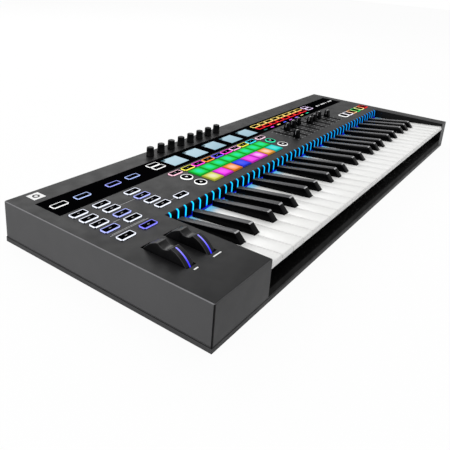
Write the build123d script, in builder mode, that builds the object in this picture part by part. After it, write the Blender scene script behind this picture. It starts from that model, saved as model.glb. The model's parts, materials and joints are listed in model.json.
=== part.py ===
from build123d import *
import os
from math import asin, cos, degrees, radians, sin, sqrt

os.makedirs("parts", exist_ok=True)

# Millimetres. Along the width, places are counted from the left end of the case; along the
# depth, from its front edge. place() turns both into the model's frame: middle of the base,
# +X to the player's right, +Y to the back, +Z up.

# ---- keys and case
key_pitch = 23.5            # a white key and its gap
white_keys = 29
octaves = 4                 # full octaves; the last white key is one more C
left_cheek = 97.3
right_cheek = 27.2
well_depth = 142.0          # front edge of the case to the front edge of the panel
case_height = 52.2          # floor to panel
foot_height = 3.5
tray_floor = 2.5
tray_rim_height = 3.7
tray_rim = 2.6
parting_gap = 0.4
wall = 2.5
panel_thickness = 3.0
snug_back = 0.5             # socket bodies in front of the back wall
edge_radius = 1.3
corner_radius = 1.6

# ---- clearances
button_clearance = 0.35     # all round a moving button or pad
seat_gap = 0.3              # between a moving piece and what stops it
fit_gap = 0.1               # between fixed mouldings, and round a turning shaft
press_travel = 1.0          # buttons and pads

# ---- key mouldings, as they lie when level; at rest each is tipped up about its pivot
key_gap = 1.0
key_tilt = 4.52             # degrees
key_drop = 17.15            # panel top down to the white keys' top, over the pivot
key_front = -0.8            # this far forward of the case's front edge while level
lip_height = 6.7
key_cover = 7.0             # panel's front edge to the end of a key's visible part
lever_height = 17.1         # white top down to the key's lower edge
stem_front = 25.0
key_skin = 1.6
plate_thickness = 2.5
tail_overhang = 6.0         # tail behind the pivot
tail_height = 8.0
black_width = 10.4
black_top_width = 8.8
black_front = 46.7
black_rise = 11.4           # above the white keys, at the front of the top
black_slope_run = 8.2       # length of the sloped front face
black_rear_rise = 7.0
notch_clearance = 1.0
black_foot_rake = 1.0       # front face, from the white keys' level down
black_face_rise = 0.5
pivot_setback = 8.0         # pivot behind the panel's front edge
pivot_drop = 13.1           # below the white keys' top
pivot_slot = 5.0
ridge_width = 2.0
key_travel = 10.0           # at the front edge of a white key
black_offsets = {"c_sharp": -2.6, "d_sharp": 2.6, "f_sharp": -3.6, "g_sharp": 0.0, "a_sharp": 3.6}

# ---- light pipes and their wall
pipe_count = 49
pipe_width = 2.5
pipe_thickness = 1.5
pipe_proud = 0.5
rail_thickness = 3.2
rail_bend = 3.0
rail_foot = 16.2            # panel top down to the wall's lower edge
pipe_foot = 14.7            # panel top down to the pipes' lower end

# ---- rows of the panel, counted from its front edge or from each other
pad_row_setback = 27.5
soft_row_setback = 20.0
glass_setback = 10.0
glass_depth = 44.0
back_margin = 32.0
knob_setback = 16.0
grid_setback = 20.3
grid_row_pitch = 16.6
lower_row_drop = 3.0        # the two lowest left buttons stand in front of the panel's front edge
fader_setback = 20.0
glass_thickness = 1.0
glass_left = 17.6
glass_right = 19.0

# ---- controls; their columns stand over the keys, so a column is one key pitch
control_pitch = key_pitch
button_gap = 2.5
button_depth = 10.0
strip_row_pitch = 11.2
strip_pair_drop = 2.0
fader_spread = 0.5          # faders stand a little wider than the keys
strip_button_depth = 9.6
button_proud = 1.2
button_chamfer = 0.4
pad_gap = 1.8
pad_proud = 1.6
round_diameter = 17.0
transport_gap = 2.8
screen_width = 33.0
screen_depth = 28.2
knob_base = 12.4
knob_top = 10.6
knob_height = 13.0
knob_gap = 0.7
shaft_diameter = 6.0
bushing_diameter = 9.0
cap_width = 9.0
cap_depth = 11.0
cap_height = 12.6
cap_waist = 1.6
cap_gap = 0.8
cap_round = 1.2
fader_slot_length = 54.0
fader_margin = 7.0          # slots' end to the glass
fader_slot_width = 3.0
fader_stem_depth = 4.0
fader_stem_width = 1.8
fader_unit_width = 9.0
fader_unit_height = 7.0
board_thickness = 1.6
board_drop = 9.6            # panel underside down to the panel board

# ---- wheels
wheel_places = [34.0, 68.0]
wheel_width = 12.5
wheel_radius = 33.4
wheel_setback = 59.8        # axle, in front of the panel's front edge
wheel_drop = 19.4           # axle below the panel top
wheel_fan = 85.0            # half angle of the wheel's rim
wheel_side_gap = 0.75
wheel_slot_margin = 1.0
hub_radius = 8.0
axle_diameter = 6.0
notch_radius = 9.7
notch_depth = 5.0
bracket_plate = 2.5
bracket_gap = 1.0
bracket_half_depth = 14.0
bracket_rise = 7.0          # above the axle
pot_thickness = 7.0
pot_size = 16.0

# ---- sockets, feet and screws
socket_spacing = 30.0
first_socket = 150.0
jack_bore = 6.5
jack_bore_depth = 18.0
din_bore = 14.2
din_bore_depth = 9.0
usb_width = 8.6
usb_height = 7.9
usb_depth = 9.0
nose_wall = 1.5             # round a socket's mouth
nose_setback = 0.5          # mouths inside the back face
power_bore = 5.7
power_bore_depth = 9.0
power_pin = 2.1
pin_length = 9.0
mouth_depth = 1.0           # pin and tongue inside the mouth
tongue_width = 5.6
tongue_height = 3.2
power_button_width = 11.0
power_button_height = 7.0
power_button_depth = 8.0
power_button_proud = 1.5
foot_diameter = 16.0
foot_inset = 26.0
screw_diameter = 3.0
screw_head = 6.0
screw_head_depth = 1.4
screw_length = 14.0
screw_seat = 0.2            # head below the tray's underside
screw_spare = 1.0           # hole deeper than the screw
boss_diameter = 8.0
boss_inset = 10.0
boss_front_inset = 12.0
boss_well_inset = 15.3      # boss left of the key well
boss_clearance = 0.5        # round a boss, in the boards it passes

# ---- worked out from the sizes above
key_field = white_keys * key_pitch
case_length = left_cheek + key_field + right_cheek
pad_row_front = well_depth + pad_row_setback
pad_row_back = pad_row_front + control_pitch
soft_row = pad_row_back + soft_row_setback
fader_end = well_depth + fader_setback + fader_slot_length
glass_front = max(soft_row + glass_setback, fader_end + fader_margin)
glass_middle = glass_front + glass_depth / 2
glass_back = glass_front + glass_depth
knob_row = glass_back + knob_setback
key_end = well_depth - key_cover
pivot_depth = well_depth + pivot_setback
tail_end = pivot_depth + tail_overhang
wheel_depth = well_depth - wheel_setback
case_depth = glass_back + back_margin

floor_top = foot_height + tray_floor
rim_top = foot_height + tray_rim_height
skirt = rim_top + parting_gap
under_panel = case_height - panel_thickness
board_top = under_panel - board_drop
white_top = case_height - key_drop          # of a level key, as are the next two
key_low = white_top - lever_height
tail_top = key_low + tail_height
pivot_height = white_top - pivot_drop
pivot_rise = pivot_height - key_low
press_angle = degrees(asin(key_travel / (pivot_depth - key_front)))

button_width = control_pitch - button_gap
pad_size = control_pitch - pad_gap
button_low = board_top + press_travel + seat_gap
button_high = case_height + button_proud


def place(x, y):
    return (x - case_length / 2, y - case_depth / 2)


def column(n):
    return n * control_pitch


def places(points):
    return [place(x, y) for x, y in points]


def finish(part, name):
    part.part.label = name
    export_step(part.part, f"parts/{name}.step")


# ---- where the controls stand
pad_columns = [column(9.7 + n) for n in range(8)]
fader_pitch = control_pitch + fader_spread
fader_columns = [column(20.17) + n * fader_pitch for n in range(8)]
grid_columns = [column(1.45), column(2.88), column(5.0), column(6.45)]
grid_rows = [well_depth + grid_setback + n * grid_row_pitch for n in range(4)]
side_column_left = column(8.55)
side_column_right = column(17.97)

grid_button_points = [(x, y) for x in grid_columns[:3] for y in grid_rows]
grid_button_points += [(grid_columns[3], grid_rows[0])]
grid_button_points += [(x, well_depth - lower_row_drop) for x in grid_columns[:2]]

strip_pair_rows = [glass_middle - strip_pair_drop, glass_middle - strip_pair_drop + strip_row_pitch]
strip_button_points = [(x, glass_middle) for x in grid_columns]
strip_button_points += [(side_column_left, y) for y in strip_pair_rows]
strip_button_points += [(column(20.1 + n), y) for n in range(8) for y in strip_pair_rows]
strip_button_points += [(column(28.4), y) for y in strip_pair_rows]

soft_button_points = [(side_column_left, soft_row), (side_column_right, soft_row)]
soft_button_points += [(x, soft_row) for x in pad_columns]

transport_pitch = 0.864 * control_pitch
transport_size = transport_pitch - transport_gap
transport_points = [(column(28.83) + n * transport_pitch, pad_row_front) for n in range(6)]

round_points = [(x, y) for x in (side_column_left, side_column_right) for y in (pad_row_front, pad_row_back)]
screen_points = [(column(10.15 + 2.03 * n), glass_middle) for n in range(5)]
knob_points = [(column(9.67 + n), knob_row) for n in range(8)]
fader_middle = fader_end - fader_slot_length / 2
fader_set = [-18.0, 14.0, 15.5, 17.0, 4.5, 8.0, 9.5, 2.5]      # where each cap is left along its slot

foot_points = [(foot_inset, foot_inset), (case_length - foot_inset, foot_inset), (case_length / 2, foot_inset)]
foot_points += [(foot_inset, case_depth - foot_inset), (case_length - foot_inset, case_depth - foot_inset)]

socket_x = [first_socket + n * socket_spacing for n in range(7)]
power_x, switch_x, usb_x, din_in_x, din_out_x, sustain_x, pedal_x = socket_x

right_side = case_length - boss_inset
back_row = case_depth - boss_inset
boss_points = [(boss_inset, boss_front_inset), (left_cheek - boss_well_inset, boss_front_inset)]
boss_points += [(boss_inset, pivot_depth), (right_side, boss_front_inset), (right_side, pivot_depth)]
boss_points += [(boss_front_inset, back_row), (column(8.2), back_row + 1), (column(18.6), back_row + 1)]
boss_points += [(column(24.5), back_row), (case_length - boss_front_inset, back_row)]

main_board_rise = 6.0
main_board_top = floor_top + main_board_rise + board_thickness
din_block = (din_bore + 6.8, 13.0, din_bore + 5.8)      # width, depth, height of a socket's body
jack_block = (jack_bore + 8.5, 24.0, jack_bore + 8.0)
usb_block = (usb_width + 3.6, 16.0, usb_height + 4.1)
power_block = (power_bore + 3.8, 14.0, power_bore + 5.3)
socket_axis = main_board_top + din_block[2] / 2
jack_axis = main_board_top + jack_bore / 2 + 4.25
usb_axis = main_board_top + usb_block[2] / 2
nose_face = case_depth - nose_setback
inner_back = case_depth - wall

# ---- bottom tray: floor, rim, screw holes and the main board's standoffs
board_side = 30.0
board_left = first_socket - board_side
board_right = pedal_x + board_side
board_front = glass_front - board_side
board_back = inner_back - 3.0
standoff_inset = 6.0
standoff_setback = 30.0     # clear of the sockets' pins
standoff_diameter = 6.0
standoff_rows = (board_front + standoff_inset, board_back - standoff_setback)
standoff_points = [(x, y) for x in (board_left + standoff_inset, board_right - standoff_inset) for y in standoff_rows]

with BuildPart() as bottom_tray:
    with BuildSketch(Plane.XY.offset(foot_height)):
        RectangleRounded(case_length, case_depth, corner_radius)
    extrude(amount=tray_rim_height)
    with BuildSketch(Plane.XY.offset(floor_top)):
        Rectangle(case_length - 2 * tray_rim, case_depth - 2 * tray_rim)
    extrude(amount=tray_rim_height, mode=Mode.SUBTRACT)
    with BuildSketch(Plane.XY.offset(floor_top)):
        with Locations(*places(standoff_points)):
            Circle(standoff_diameter / 2)
    extrude(amount=main_board_rise)
    with BuildSketch(Plane.XY.offset(foot_height)):
        with Locations(*places(boss_points)):
            Circle(screw_diameter / 2 + fit_gap)
    extrude(amount=tray_floor, mode=Mode.SUBTRACT)
    with BuildSketch(Plane.XY.offset(foot_height)):
        with Locations(*places(boss_points)):
            Circle(screw_head / 2 + fit_gap)
    extrude(amount=screw_head_depth, mode=Mode.SUBTRACT)
finish(bottom_tray, "bottom_tray")

# ---- top case: cheeks, panel and back in one shell, open below and at the key well
wheel_slot_width = wheel_width + 2 * wheel_side_gap
wheel_chord = sqrt(wheel_radius**2 - (wheel_drop - panel_thickness) ** 2)
wheel_slot_length = 2 * (wheel_chord + wheel_slot_margin)
well_right = left_cheek + key_field
skirt_height = case_height - skirt

with BuildPart() as top_case:
    with BuildSketch(Plane.XY.offset(skirt)):
        Rectangle(case_length, case_depth)
    extrude(amount=skirt_height)
    fillet(top_case.edges().filter_by(Axis.Z), corner_radius)
    fillet(top_case.faces().sort_by(Axis.Z)[-1].edges(), edge_radius)
    # hollow of the left cheek, of the right cheek, and of the panel behind the keys
    with BuildSketch(Plane.XY.offset(skirt)):
        with Locations(place(left_cheek / 2, case_depth / 2)):
            Rectangle(left_cheek - 2 * wall, case_depth - 2 * wall)
        with Locations(place(case_length - right_cheek / 2, case_depth / 2)):
            Rectangle(right_cheek - 2 * wall, case_depth - 2 * wall)
        with Locations(place(case_length / 2, (well_depth + inner_back) / 2)):
            Rectangle(case_length - 2 * wall, inner_back - well_depth)
    extrude(amount=under_panel - skirt, mode=Mode.SUBTRACT)
    # key well, open to the front
    with BuildSketch(Plane.XY.offset(skirt)):
        with Locations(place(left_cheek + key_field / 2, well_depth / 2 - wall)):
            Rectangle(key_field, well_depth + 2 * wall)
    extrude(amount=skirt_height, mode=Mode.SUBTRACT)
    # screw bosses
    with BuildSketch(Plane.XY.offset(floor_top)):
        with Locations(*places(boss_points)):
            Circle(boss_diameter / 2)
    extrude(amount=under_panel - floor_top)
    with BuildSketch(Plane.XY.offset(floor_top)):
        with Locations(*places(boss_points)):
            Circle(screw_diameter / 2 + fit_gap)
    extrude(amount=screw_length, mode=Mode.SUBTRACT)
    # openings for everything that moves in the panel
    with BuildSketch(Plane.XY.offset(under_panel)):
        with Locations(*places(grid_button_points + soft_button_points)):
            Rectangle(button_width + 2 * button_clearance, button_depth + 2 * button_clearance)
        with Locations(*places(strip_button_points)):
            Rectangle(button_width + 2 * button_clearance, strip_button_depth + 2 * button_clearance)
        with Locations(*places([(x, y) for x in pad_columns for y in (pad_row_front, pad_row_back)])):
            Rectangle(pad_size + 2 * button_clearance, pad_size + 2 * button_clearance)
        with Locations(*places(transport_points)):
            Rectangle(transport_size + 2 * button_clearance, transport_size + 2 * button_clearance)
        with Locations(*places(round_points)):
            Circle(round_diameter / 2 + button_clearance)
        with Locations(*places(screen_points)):
            Rectangle(screen_width + 2 * fit_gap, screen_depth + 2 * fit_gap)
        with Locations(*places(knob_points)):
            Circle(bushing_diameter / 2 + fit_gap)
        with Locations(*places([(x, fader_middle) for x in fader_columns])):
            Rectangle(fader_slot_width, fader_slot_length)
        with Locations(*places([(x, wheel_depth) for x in wheel_places])):
            Rectangle(wheel_slot_width, wheel_slot_length)
    extrude(amount=panel_thickness, mode=Mode.SUBTRACT)
    # seat of the glass strip
    with BuildSketch(Plane.XY.offset(case_height)):
        with Locations(place((glass_left + case_length - glass_right) / 2, glass_middle)):
            Rectangle(case_length - glass_left - glass_right, glass_depth)
    extrude(amount=-glass_thickness, mode=Mode.SUBTRACT)
    # socket openings in the back
    with BuildSketch(Plane.XZ.offset(-case_depth / 2)):
        with Locations((power_x - case_length / 2, usb_axis)):
            Circle(power_bore / 2 + nose_wall + fit_gap)
        with Locations((switch_x - case_length / 2, usb_axis)):
            Rectangle(power_button_width + 2 * button_clearance, power_button_height + 2 * button_clearance)
        with Locations((usb_x - case_length / 2, usb_axis)):
            Rectangle(usb_width + 2 * (nose_wall + fit_gap), usb_height + 2 * (nose_wall + fit_gap))
        with Locations((din_in_x - case_length / 2, socket_axis), (din_out_x - case_length / 2, socket_axis)):
            Circle(din_bore / 2 + nose_wall + fit_gap)
        with Locations((sustain_x - case_length / 2, jack_axis), (pedal_x - case_length / 2, jack_axis)):
            Circle(jack_bore / 2 + nose_wall + fit_gap)
    extrude(amount=wall, mode=Mode.SUBTRACT)
finish(top_case, "top_case")

# ---- front rail: closes the well below the keys, stands on the tray behind its rim
rail_clearance = 12.2       # below a pressed white key's lip
rail_depth = 12.0
rail_round = 0.8
rail_rise = 2.5
rail_skin = 2.2
web_gap = 0.6
pressed_tilt = radians(key_tilt - press_angle)
lip_pressed = white_top - lip_height + (pivot_depth - key_front) * sin(pressed_tilt)
rail_top = lip_pressed - rail_clearance
with BuildPart() as front_rail:
    with BuildSketch(Plane.YZ.offset(left_cheek - case_length / 2 + fit_gap)):
        with BuildLine():
            rail_back = rail_depth - case_depth / 2
            web_front = tray_rim + web_gap - case_depth / 2
            web_back = web_front + wall
            face = -case_depth / 2
            Polyline(
                (face, skirt), (face, rail_top - rail_round), (face + rail_round, rail_top),
                (rail_back, rail_top + rail_rise), (rail_back, rail_top + rail_rise - rail_skin),
                (web_back, rail_top - 2 * rail_round), (web_back, floor_top),
                (web_front, floor_top), (web_front, skirt), close=True,
            )
        make_face()
    extrude(amount=key_field - 2 * fit_gap)
finish(front_rail, "front_rail")

# ---- glass strip
with BuildPart() as control_glass:
    with BuildSketch(Plane.XY.offset(case_height - glass_thickness)):
        with Locations(place((glass_left + case_length - glass_right) / 2, glass_middle)):
            Rectangle(case_length - glass_left - glass_right - 2 * fit_gap, glass_depth - 2 * fit_gap)
        with Locations(*places(strip_button_points)):
            Rectangle(
                button_width + 2 * button_clearance, strip_button_depth + 2 * button_clearance, mode=Mode.SUBTRACT
            )
        with Locations(*places(screen_points)):
            Rectangle(screen_width + 2 * fit_gap, screen_depth + 2 * fit_gap, mode=Mode.SUBTRACT)
    extrude(amount=glass_thickness)
finish(control_glass, "control_glass")

# ---- keys: one moulding for each note name, one more for the top C
note_names = ["c", "d", "e", "f", "g", "a", "b"]
black_after = {"c": "c_sharp", "d": "d_sharp", "f": "f_sharp", "g": "g_sharp", "a": "a_sharp"}
octave_width = 7 * key_pitch
octave_starts = [left_cheek + n * octave_width for n in range(octaves)]


def black_centre(index, sharp):
    return (index + 1) * key_pitch + black_offsets[sharp]


def key_tail(x_low, x_high, bottom):
    """Bar behind a key with the slot that sits over the pivot ridge."""
    middle = (x_low + x_high) / 2
    length = tail_end - key_end + key_skin
    with BuildSketch(Plane.XY.offset(bottom)) as bar:
        with Locations((middle, tail_end - length / 2)):
            Rectangle(x_high - x_low, length)
    extrude(bar.sketch, amount=tail_height)
    with BuildSketch(Plane.XY.offset(bottom)) as slot:
        with Locations((middle, pivot_depth)):
            Rectangle(x_high - x_low, pivot_slot)
    extrude(slot.sketch, amount=pivot_rise, mode=Mode.SUBTRACT)


def spread(key, starts, name):
    """The same moulding once for each octave, tipped up about the pivot."""
    tipped = key.part.rotate(Axis((0, pivot_depth, pivot_height), (1, 0, 0)), -key_tilt)
    with BuildPart() as key_set:
        with Locations(*[(start - case_length / 2, -case_depth / 2, 0) for start in starts]):
            add(tipped)
    finish(key_set, name)


for index, note in enumerate(note_names + ["top_c"]):
    left = (index % 7) * key_pitch + key_gap / 2
    right = left + key_pitch - key_gap
    stem_left = left
    stem_right = right
    before = black_after.get(note_names[index - 1]) if 0 < index < 7 else None
    after = black_after.get(note)
    if before:
        stem_left = max(left, black_centre(index - 1, before) + black_width / 2 + notch_clearance)
    if after:
        stem_right = min(right, black_centre(index, after) - black_width / 2 - notch_clearance)
    notch_front = black_front - notch_clearance
    outline = [
        (left, key_front), (right, key_front), (right, notch_front), (stem_right, notch_front),
        (stem_right, key_end), (stem_left, key_end), (stem_left, notch_front), (left, notch_front),
    ]
    corners = [point for n, point in enumerate(outline) if point != outline[n - 1]]
    with BuildPart() as white_key:
        with BuildSketch(Plane.XY.offset(white_top - plate_thickness)):
            with BuildLine():
                Polyline(*corners, close=True)
            make_face()
        extrude(amount=plate_thickness)
        # front lip and the short side walls behind it
        with BuildSketch(Plane.XY.offset(white_top - lip_height)):
            with Locations(((left + right) / 2, (key_front + stem_front) / 2)):
                Rectangle(right - left, stem_front - key_front)
            with Locations(((left + right) / 2, (key_front + key_skin + stem_front) / 2)):
                Rectangle(right - left - 2 * key_skin, stem_front - key_front - key_skin, mode=Mode.SUBTRACT)
        extrude(amount=lip_height)
        # hollow lever under the plate
        stem_middle = ((stem_left + stem_right) / 2, (stem_front + key_end) / 2)
        with BuildSketch(Plane.XY.offset(key_low)):
            with Locations(stem_middle):
                Rectangle(stem_right - stem_left, key_end - stem_front)
        extrude(amount=lever_height)
        with BuildSketch(Plane.XY.offset(key_low)):
            with Locations(stem_middle):
                Rectangle(stem_right - stem_left - 2 * key_skin, key_end - stem_front - 2 * key_skin)
        extrude(amount=lever_height - plate_thickness, mode=Mode.SUBTRACT)
        key_tail(stem_left, stem_right, key_low)
    if note == "top_c":
        spread(white_key, [octave_starts[-1] + octave_width], "key_top_c")
    else:
        spread(white_key, octave_starts, f"keys_{note}")

black_top = white_top + black_rise
for index, note in enumerate(note_names):
    if note not in black_after:
        continue
    middle = black_centre(index, black_after[note])
    with BuildPart() as black_key:
        with BuildSketch(Plane.YZ.offset(middle - black_width / 2)):
            with BuildLine():
                Polyline(
                    (black_front + black_foot_rake, key_low), (black_front, white_top + black_face_rise),
                    (black_front + black_slope_run, black_top), (key_end, white_top + black_rear_rise),
                    (key_end, key_low), close=True,
                )
            make_face()
        extrude(amount=black_width)
        with BuildSketch(Plane.XZ.offset(-black_front)):
            with BuildLine():
                Polyline(
                    (middle - black_width / 2, key_low), (middle + black_width / 2, key_low),
                    (middle + black_width / 2, white_top), (middle + black_top_width / 2, black_top),
                    (middle - black_top_width / 2, black_top), (middle - black_width / 2, white_top), close=True,
                )
            make_face()
        extrude(amount=-(key_end - black_front), mode=Mode.INTERSECT)
        with BuildSketch(Plane.XY.offset(key_low)):
            with Locations((middle, (black_front + key_end) / 2)):
                Rectangle(black_width - 2 * key_skin, key_end - black_front - 4 * key_skin)
        extrude(amount=lever_height - plate_thickness, mode=Mode.SUBTRACT)
        key_tail(middle - black_width / 2, middle + black_width / 2, key_low)
    spread(black_key, octave_starts, f"keys_{black_after[note]}")

# ---- key frame: floor, stop rail, board ribs, pivot ridge and back wall, one long profile
frame_floor = 2.5
frame_side_gap = 1.5
frame_left = left_cheek + frame_side_gap
frame_length = key_field - 2 * frame_side_gap
felt_thickness = 2.3
stop_front = 18.0
stop_back = 34.0


def pressed_low(y):
    """Height of a fully pressed key's lower edge."""
    return pivot_height + (pivot_depth - y) * sin(pressed_tilt) - pivot_rise * cos(pressed_tilt)


felt_top = pressed_low(stop_back) - seat_gap
stop_top = felt_top - felt_thickness
contact_depth = 42.0
contact_back = key_end - 31.0
contact_front = contact_back - contact_depth
dome_height = 4.0
dome_depth = 8.0
dome_width = key_pitch / 4
contact_top = pressed_low(contact_back) - seat_gap
contact_board_top = contact_top - dome_height
rib_top = contact_board_top - board_thickness
ridge_top = pivot_height - seat_gap
back_wall_gap = 2.0
back_wall = tail_end + back_wall_gap
leaf_gap = 0.6
back_wall_top = tail_top + leaf_gap
frame_base = floor_top + frame_floor


def upright(y_low, y_high, top):
    """A rib of the key frame, the whole length of the keys."""
    with BuildSketch(Plane.XY.offset(frame_base)) as rib:
        with Locations(place(frame_left + frame_length / 2, (y_low + y_high) / 2)):
            Rectangle(frame_length, y_high - y_low)
    extrude(rib.sketch, amount=top - frame_base)


with BuildPart() as key_frame:
    with BuildSketch(Plane.XY.offset(floor_top)):
        with Locations(place(frame_left + frame_length / 2, (stop_front + back_wall + wall) / 2)):
            Rectangle(frame_length, back_wall + wall - stop_front)
    extrude(amount=frame_floor)
    upright(stop_front, stop_front + wall, stop_top)
    upright(stop_back - wall, stop_back, stop_top)
    upright(contact_front, contact_front + wall, rib_top)
    upright(contact_back - wall, contact_back, rib_top)
    upright(pivot_depth - ridge_width / 2, pivot_depth + ridge_width / 2, ridge_top)
    upright(back_wall, back_wall + wall, back_wall_top)
finish(key_frame, "key_frame")

with BuildPart() as key_felt:
    with BuildSketch(Plane.XY.offset(stop_top)):
        with Locations(place(frame_left + frame_length / 2, (stop_front + stop_back) / 2)):
            Rectangle(frame_length, stop_back - stop_front)
    extrude(amount=felt_thickness)
finish(key_felt, "key_felt")

# ---- contact board with a strip of rubber domes, one under each key
key_centres = []
for start in octave_starts:
    for index, note in enumerate(note_names):
        key_centres.append(start + (index + 0.5) * key_pitch)
        if note in black_after:
            key_centres.append(start + black_centre(index, black_after[note]))
key_centres.append(octave_starts[-1] + octave_width + key_pitch / 2)

with BuildPart() as key_contact_board:
    with BuildSketch(Plane.XY.offset(rib_top)):
        with Locations(place(frame_left + frame_length / 2, (contact_front + contact_back) / 2)):
            Rectangle(frame_length, contact_back - contact_front)
    extrude(amount=board_thickness)
    with BuildSketch(Plane.XY.offset(contact_board_top)):
        with Locations(*places([(x, (contact_front + contact_back) / 2) for x in key_centres])):
            Rectangle(dome_width, dome_depth)
    extrude(amount=dome_height)
finish(key_contact_board, "key_contact_board")

# ---- leaf springs: fixed on the frame's back wall, each over the tail of its key
leaf_width = 4.0
leaf_thickness = 0.4
leaf_front = pivot_depth + ridge_width / 2
with BuildPart() as key_springs:
    with BuildSketch(Plane.XY.offset(back_wall_top)):
        with Locations(*places([(x, (leaf_front + back_wall + wall) / 2) for x in key_centres])):
            Rectangle(leaf_width, back_wall + wall - leaf_front)
    extrude(amount=leaf_thickness)
finish(key_springs, "key_springs")

# ---- light rail and the light pipes let into it
rail_front = well_depth - fit_gap - rail_thickness
pipe_spacing = key_field / pipe_count
pipe_centres = [left_cheek + (n + 0.5) * pipe_spacing for n in range(pipe_count)]
pipe_end = case_height - pipe_foot


def pipe_strip(width, outer, inner, foot):
    """A strip that runs up the rail's face and over its rounded top edge."""
    plane = Plane.YZ.offset(-width / 2)
    bend_y = rail_front + rail_bend - case_depth / 2
    bend_z = case_height - rail_bend
    outer_y = bend_y - rail_bend - outer
    inner_y = bend_y - rail_bend + inner
    with BuildPart() as strip:
        with BuildSketch(plane):
            with BuildLine():
                Line((outer_y, foot), (outer_y, bend_z))
                RadiusArc((outer_y, bend_z), (bend_y, bend_z + rail_bend + outer), rail_bend + outer)
                Line((bend_y, bend_z + rail_bend + outer), (bend_y, bend_z + rail_bend - inner))
                RadiusArc((bend_y, bend_z + rail_bend - inner), (inner_y, bend_z), inner - rail_bend)
                Line((inner_y, bend_z), (inner_y, foot))
                Line((inner_y, foot), (outer_y, foot))
            make_face()
        extrude(amount=width)
    return strip


pipe_sunk = pipe_thickness - pipe_proud
cut_past = 1.0              # the cutter stands this far out of the wall
slot_cutter = pipe_strip(pipe_width + 2 * fit_gap, cut_past, pipe_sunk + fit_gap, pipe_end - fit_gap)
light_pipe = pipe_strip(pipe_width, pipe_proud, pipe_sunk, pipe_end)

with BuildPart() as light_rail:
    with BuildSketch(Plane.XY.offset(case_height - rail_foot)):
        with Locations(place(left_cheek + key_field / 2, rail_front + rail_thickness / 2)):
            Rectangle(key_field - 2 * fit_gap, rail_thickness)
    extrude(amount=rail_foot)
    fillet(light_rail.edges().filter_by(Axis.X).group_by(Axis.Z)[-1].sort_by(Axis.Y)[0], rail_bend)
    with Locations(*[(x - case_length / 2, 0, 0) for x in pipe_centres]):
        add(slot_cutter.part, mode=Mode.SUBTRACT)
finish(light_rail, "light_rail")

with BuildPart() as light_pipes:
    with Locations(*[(x - case_length / 2, 0, 0) for x in pipe_centres]):
        add(light_pipe.part)
finish(light_pipes, "light_pipes")

# ---- panel board behind the controls, clear of the screw bosses
board_margin = 4.0
board_gap = 3.0
panel_board_front = back_wall + wall + board_gap
apron_front = well_depth - lower_row_drop - button_depth
with BuildPart() as panel_board:
    with BuildSketch(Plane.XY.offset(board_top - board_thickness)):
        with Locations(place(case_length / 2, (panel_board_front + inner_back - board_margin) / 2)):
            Rectangle(case_length - 2 * (wall + board_margin), inner_back - board_margin - panel_board_front)
        with Locations(place(left_cheek / 2, (apron_front + panel_board_front) / 2)):
            Rectangle(left_cheek - 2 * (wall + board_margin), panel_board_front - apron_front)
        with Locations(*places(boss_points)):
            Circle(boss_diameter / 2 + boss_clearance, mode=Mode.SUBTRACT)
    extrude(amount=board_thickness)
finish(panel_board, "panel_board")


def button_set(name, points, width, depth, proud, low=button_low):
    """Identical buttons, each a block from the panel board's switch to above the panel."""
    with BuildPart() as buttons:
        with BuildSketch(Plane.XY.offset(low)):
            with Locations(*places(points)):
                Rectangle(width, depth)
        extrude(amount=case_height + proud - low)
        chamfer(buttons.faces().filter_by(Axis.Z).group_by(Axis.Z)[-1].edges(), button_chamfer)
    finish(buttons, name)


button_set("grid_buttons", grid_button_points, button_width, button_depth, button_proud)
button_set("strip_buttons", strip_button_points, button_width, strip_button_depth, button_proud)
button_set("soft_buttons", soft_button_points, button_width, button_depth, button_proud)
button_set("transport_buttons", transport_points, transport_size, transport_size, button_proud)

with BuildPart() as round_buttons:
    with BuildSketch(Plane.XY.offset(button_low)):
        with Locations(*places(round_points)):
            Circle(round_diameter / 2)
    extrude(amount=button_high - button_low)
    chamfer(round_buttons.faces().filter_by(Axis.Z).group_by(Axis.Z)[-1].edges(), button_chamfer)
finish(round_buttons, "round_buttons")

# ---- pads over their sensor board
sensor_rise = 5.0
sensor_top = board_top + sensor_rise
pad_low = sensor_top + press_travel + seat_gap
button_set("pads_front", [(x, pad_row_front) for x in pad_columns], pad_size, pad_size, pad_proud, pad_low)
button_set("pads_back", [(x, pad_row_back) for x in pad_columns], pad_size, pad_size, pad_proud, pad_low)

pad_middle = place((pad_columns[0] + pad_columns[-1]) / 2, (pad_row_front + pad_row_back) / 2)
with BuildPart() as pad_sensor_board:
    with BuildSketch(Plane.XY.offset(board_top)):
        with Locations(pad_middle):
            Rectangle(8 * control_pitch, 2 * control_pitch)
            Rectangle(8 * control_pitch - 2 * wall, 2 * control_pitch - 2 * wall, mode=Mode.SUBTRACT)
    extrude(amount=sensor_top - board_top)
    with BuildSketch(Plane.XY.offset(sensor_top - board_thickness)):
        with Locations(pad_middle):
            Rectangle(8 * control_pitch, 2 * control_pitch)
    extrude(amount=board_thickness)
finish(pad_sensor_board, "pad_sensor_board")

# ---- screens: modules on the panel board, their faces level with the glass
with BuildPart() as display_modules:
    with BuildSketch(Plane.XY.offset(board_top)):
        with Locations(*places(screen_points)):
            Rectangle(screen_width, screen_depth)
    extrude(amount=case_height - fit_gap - board_top)
finish(display_modules, "display_modules")

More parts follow.
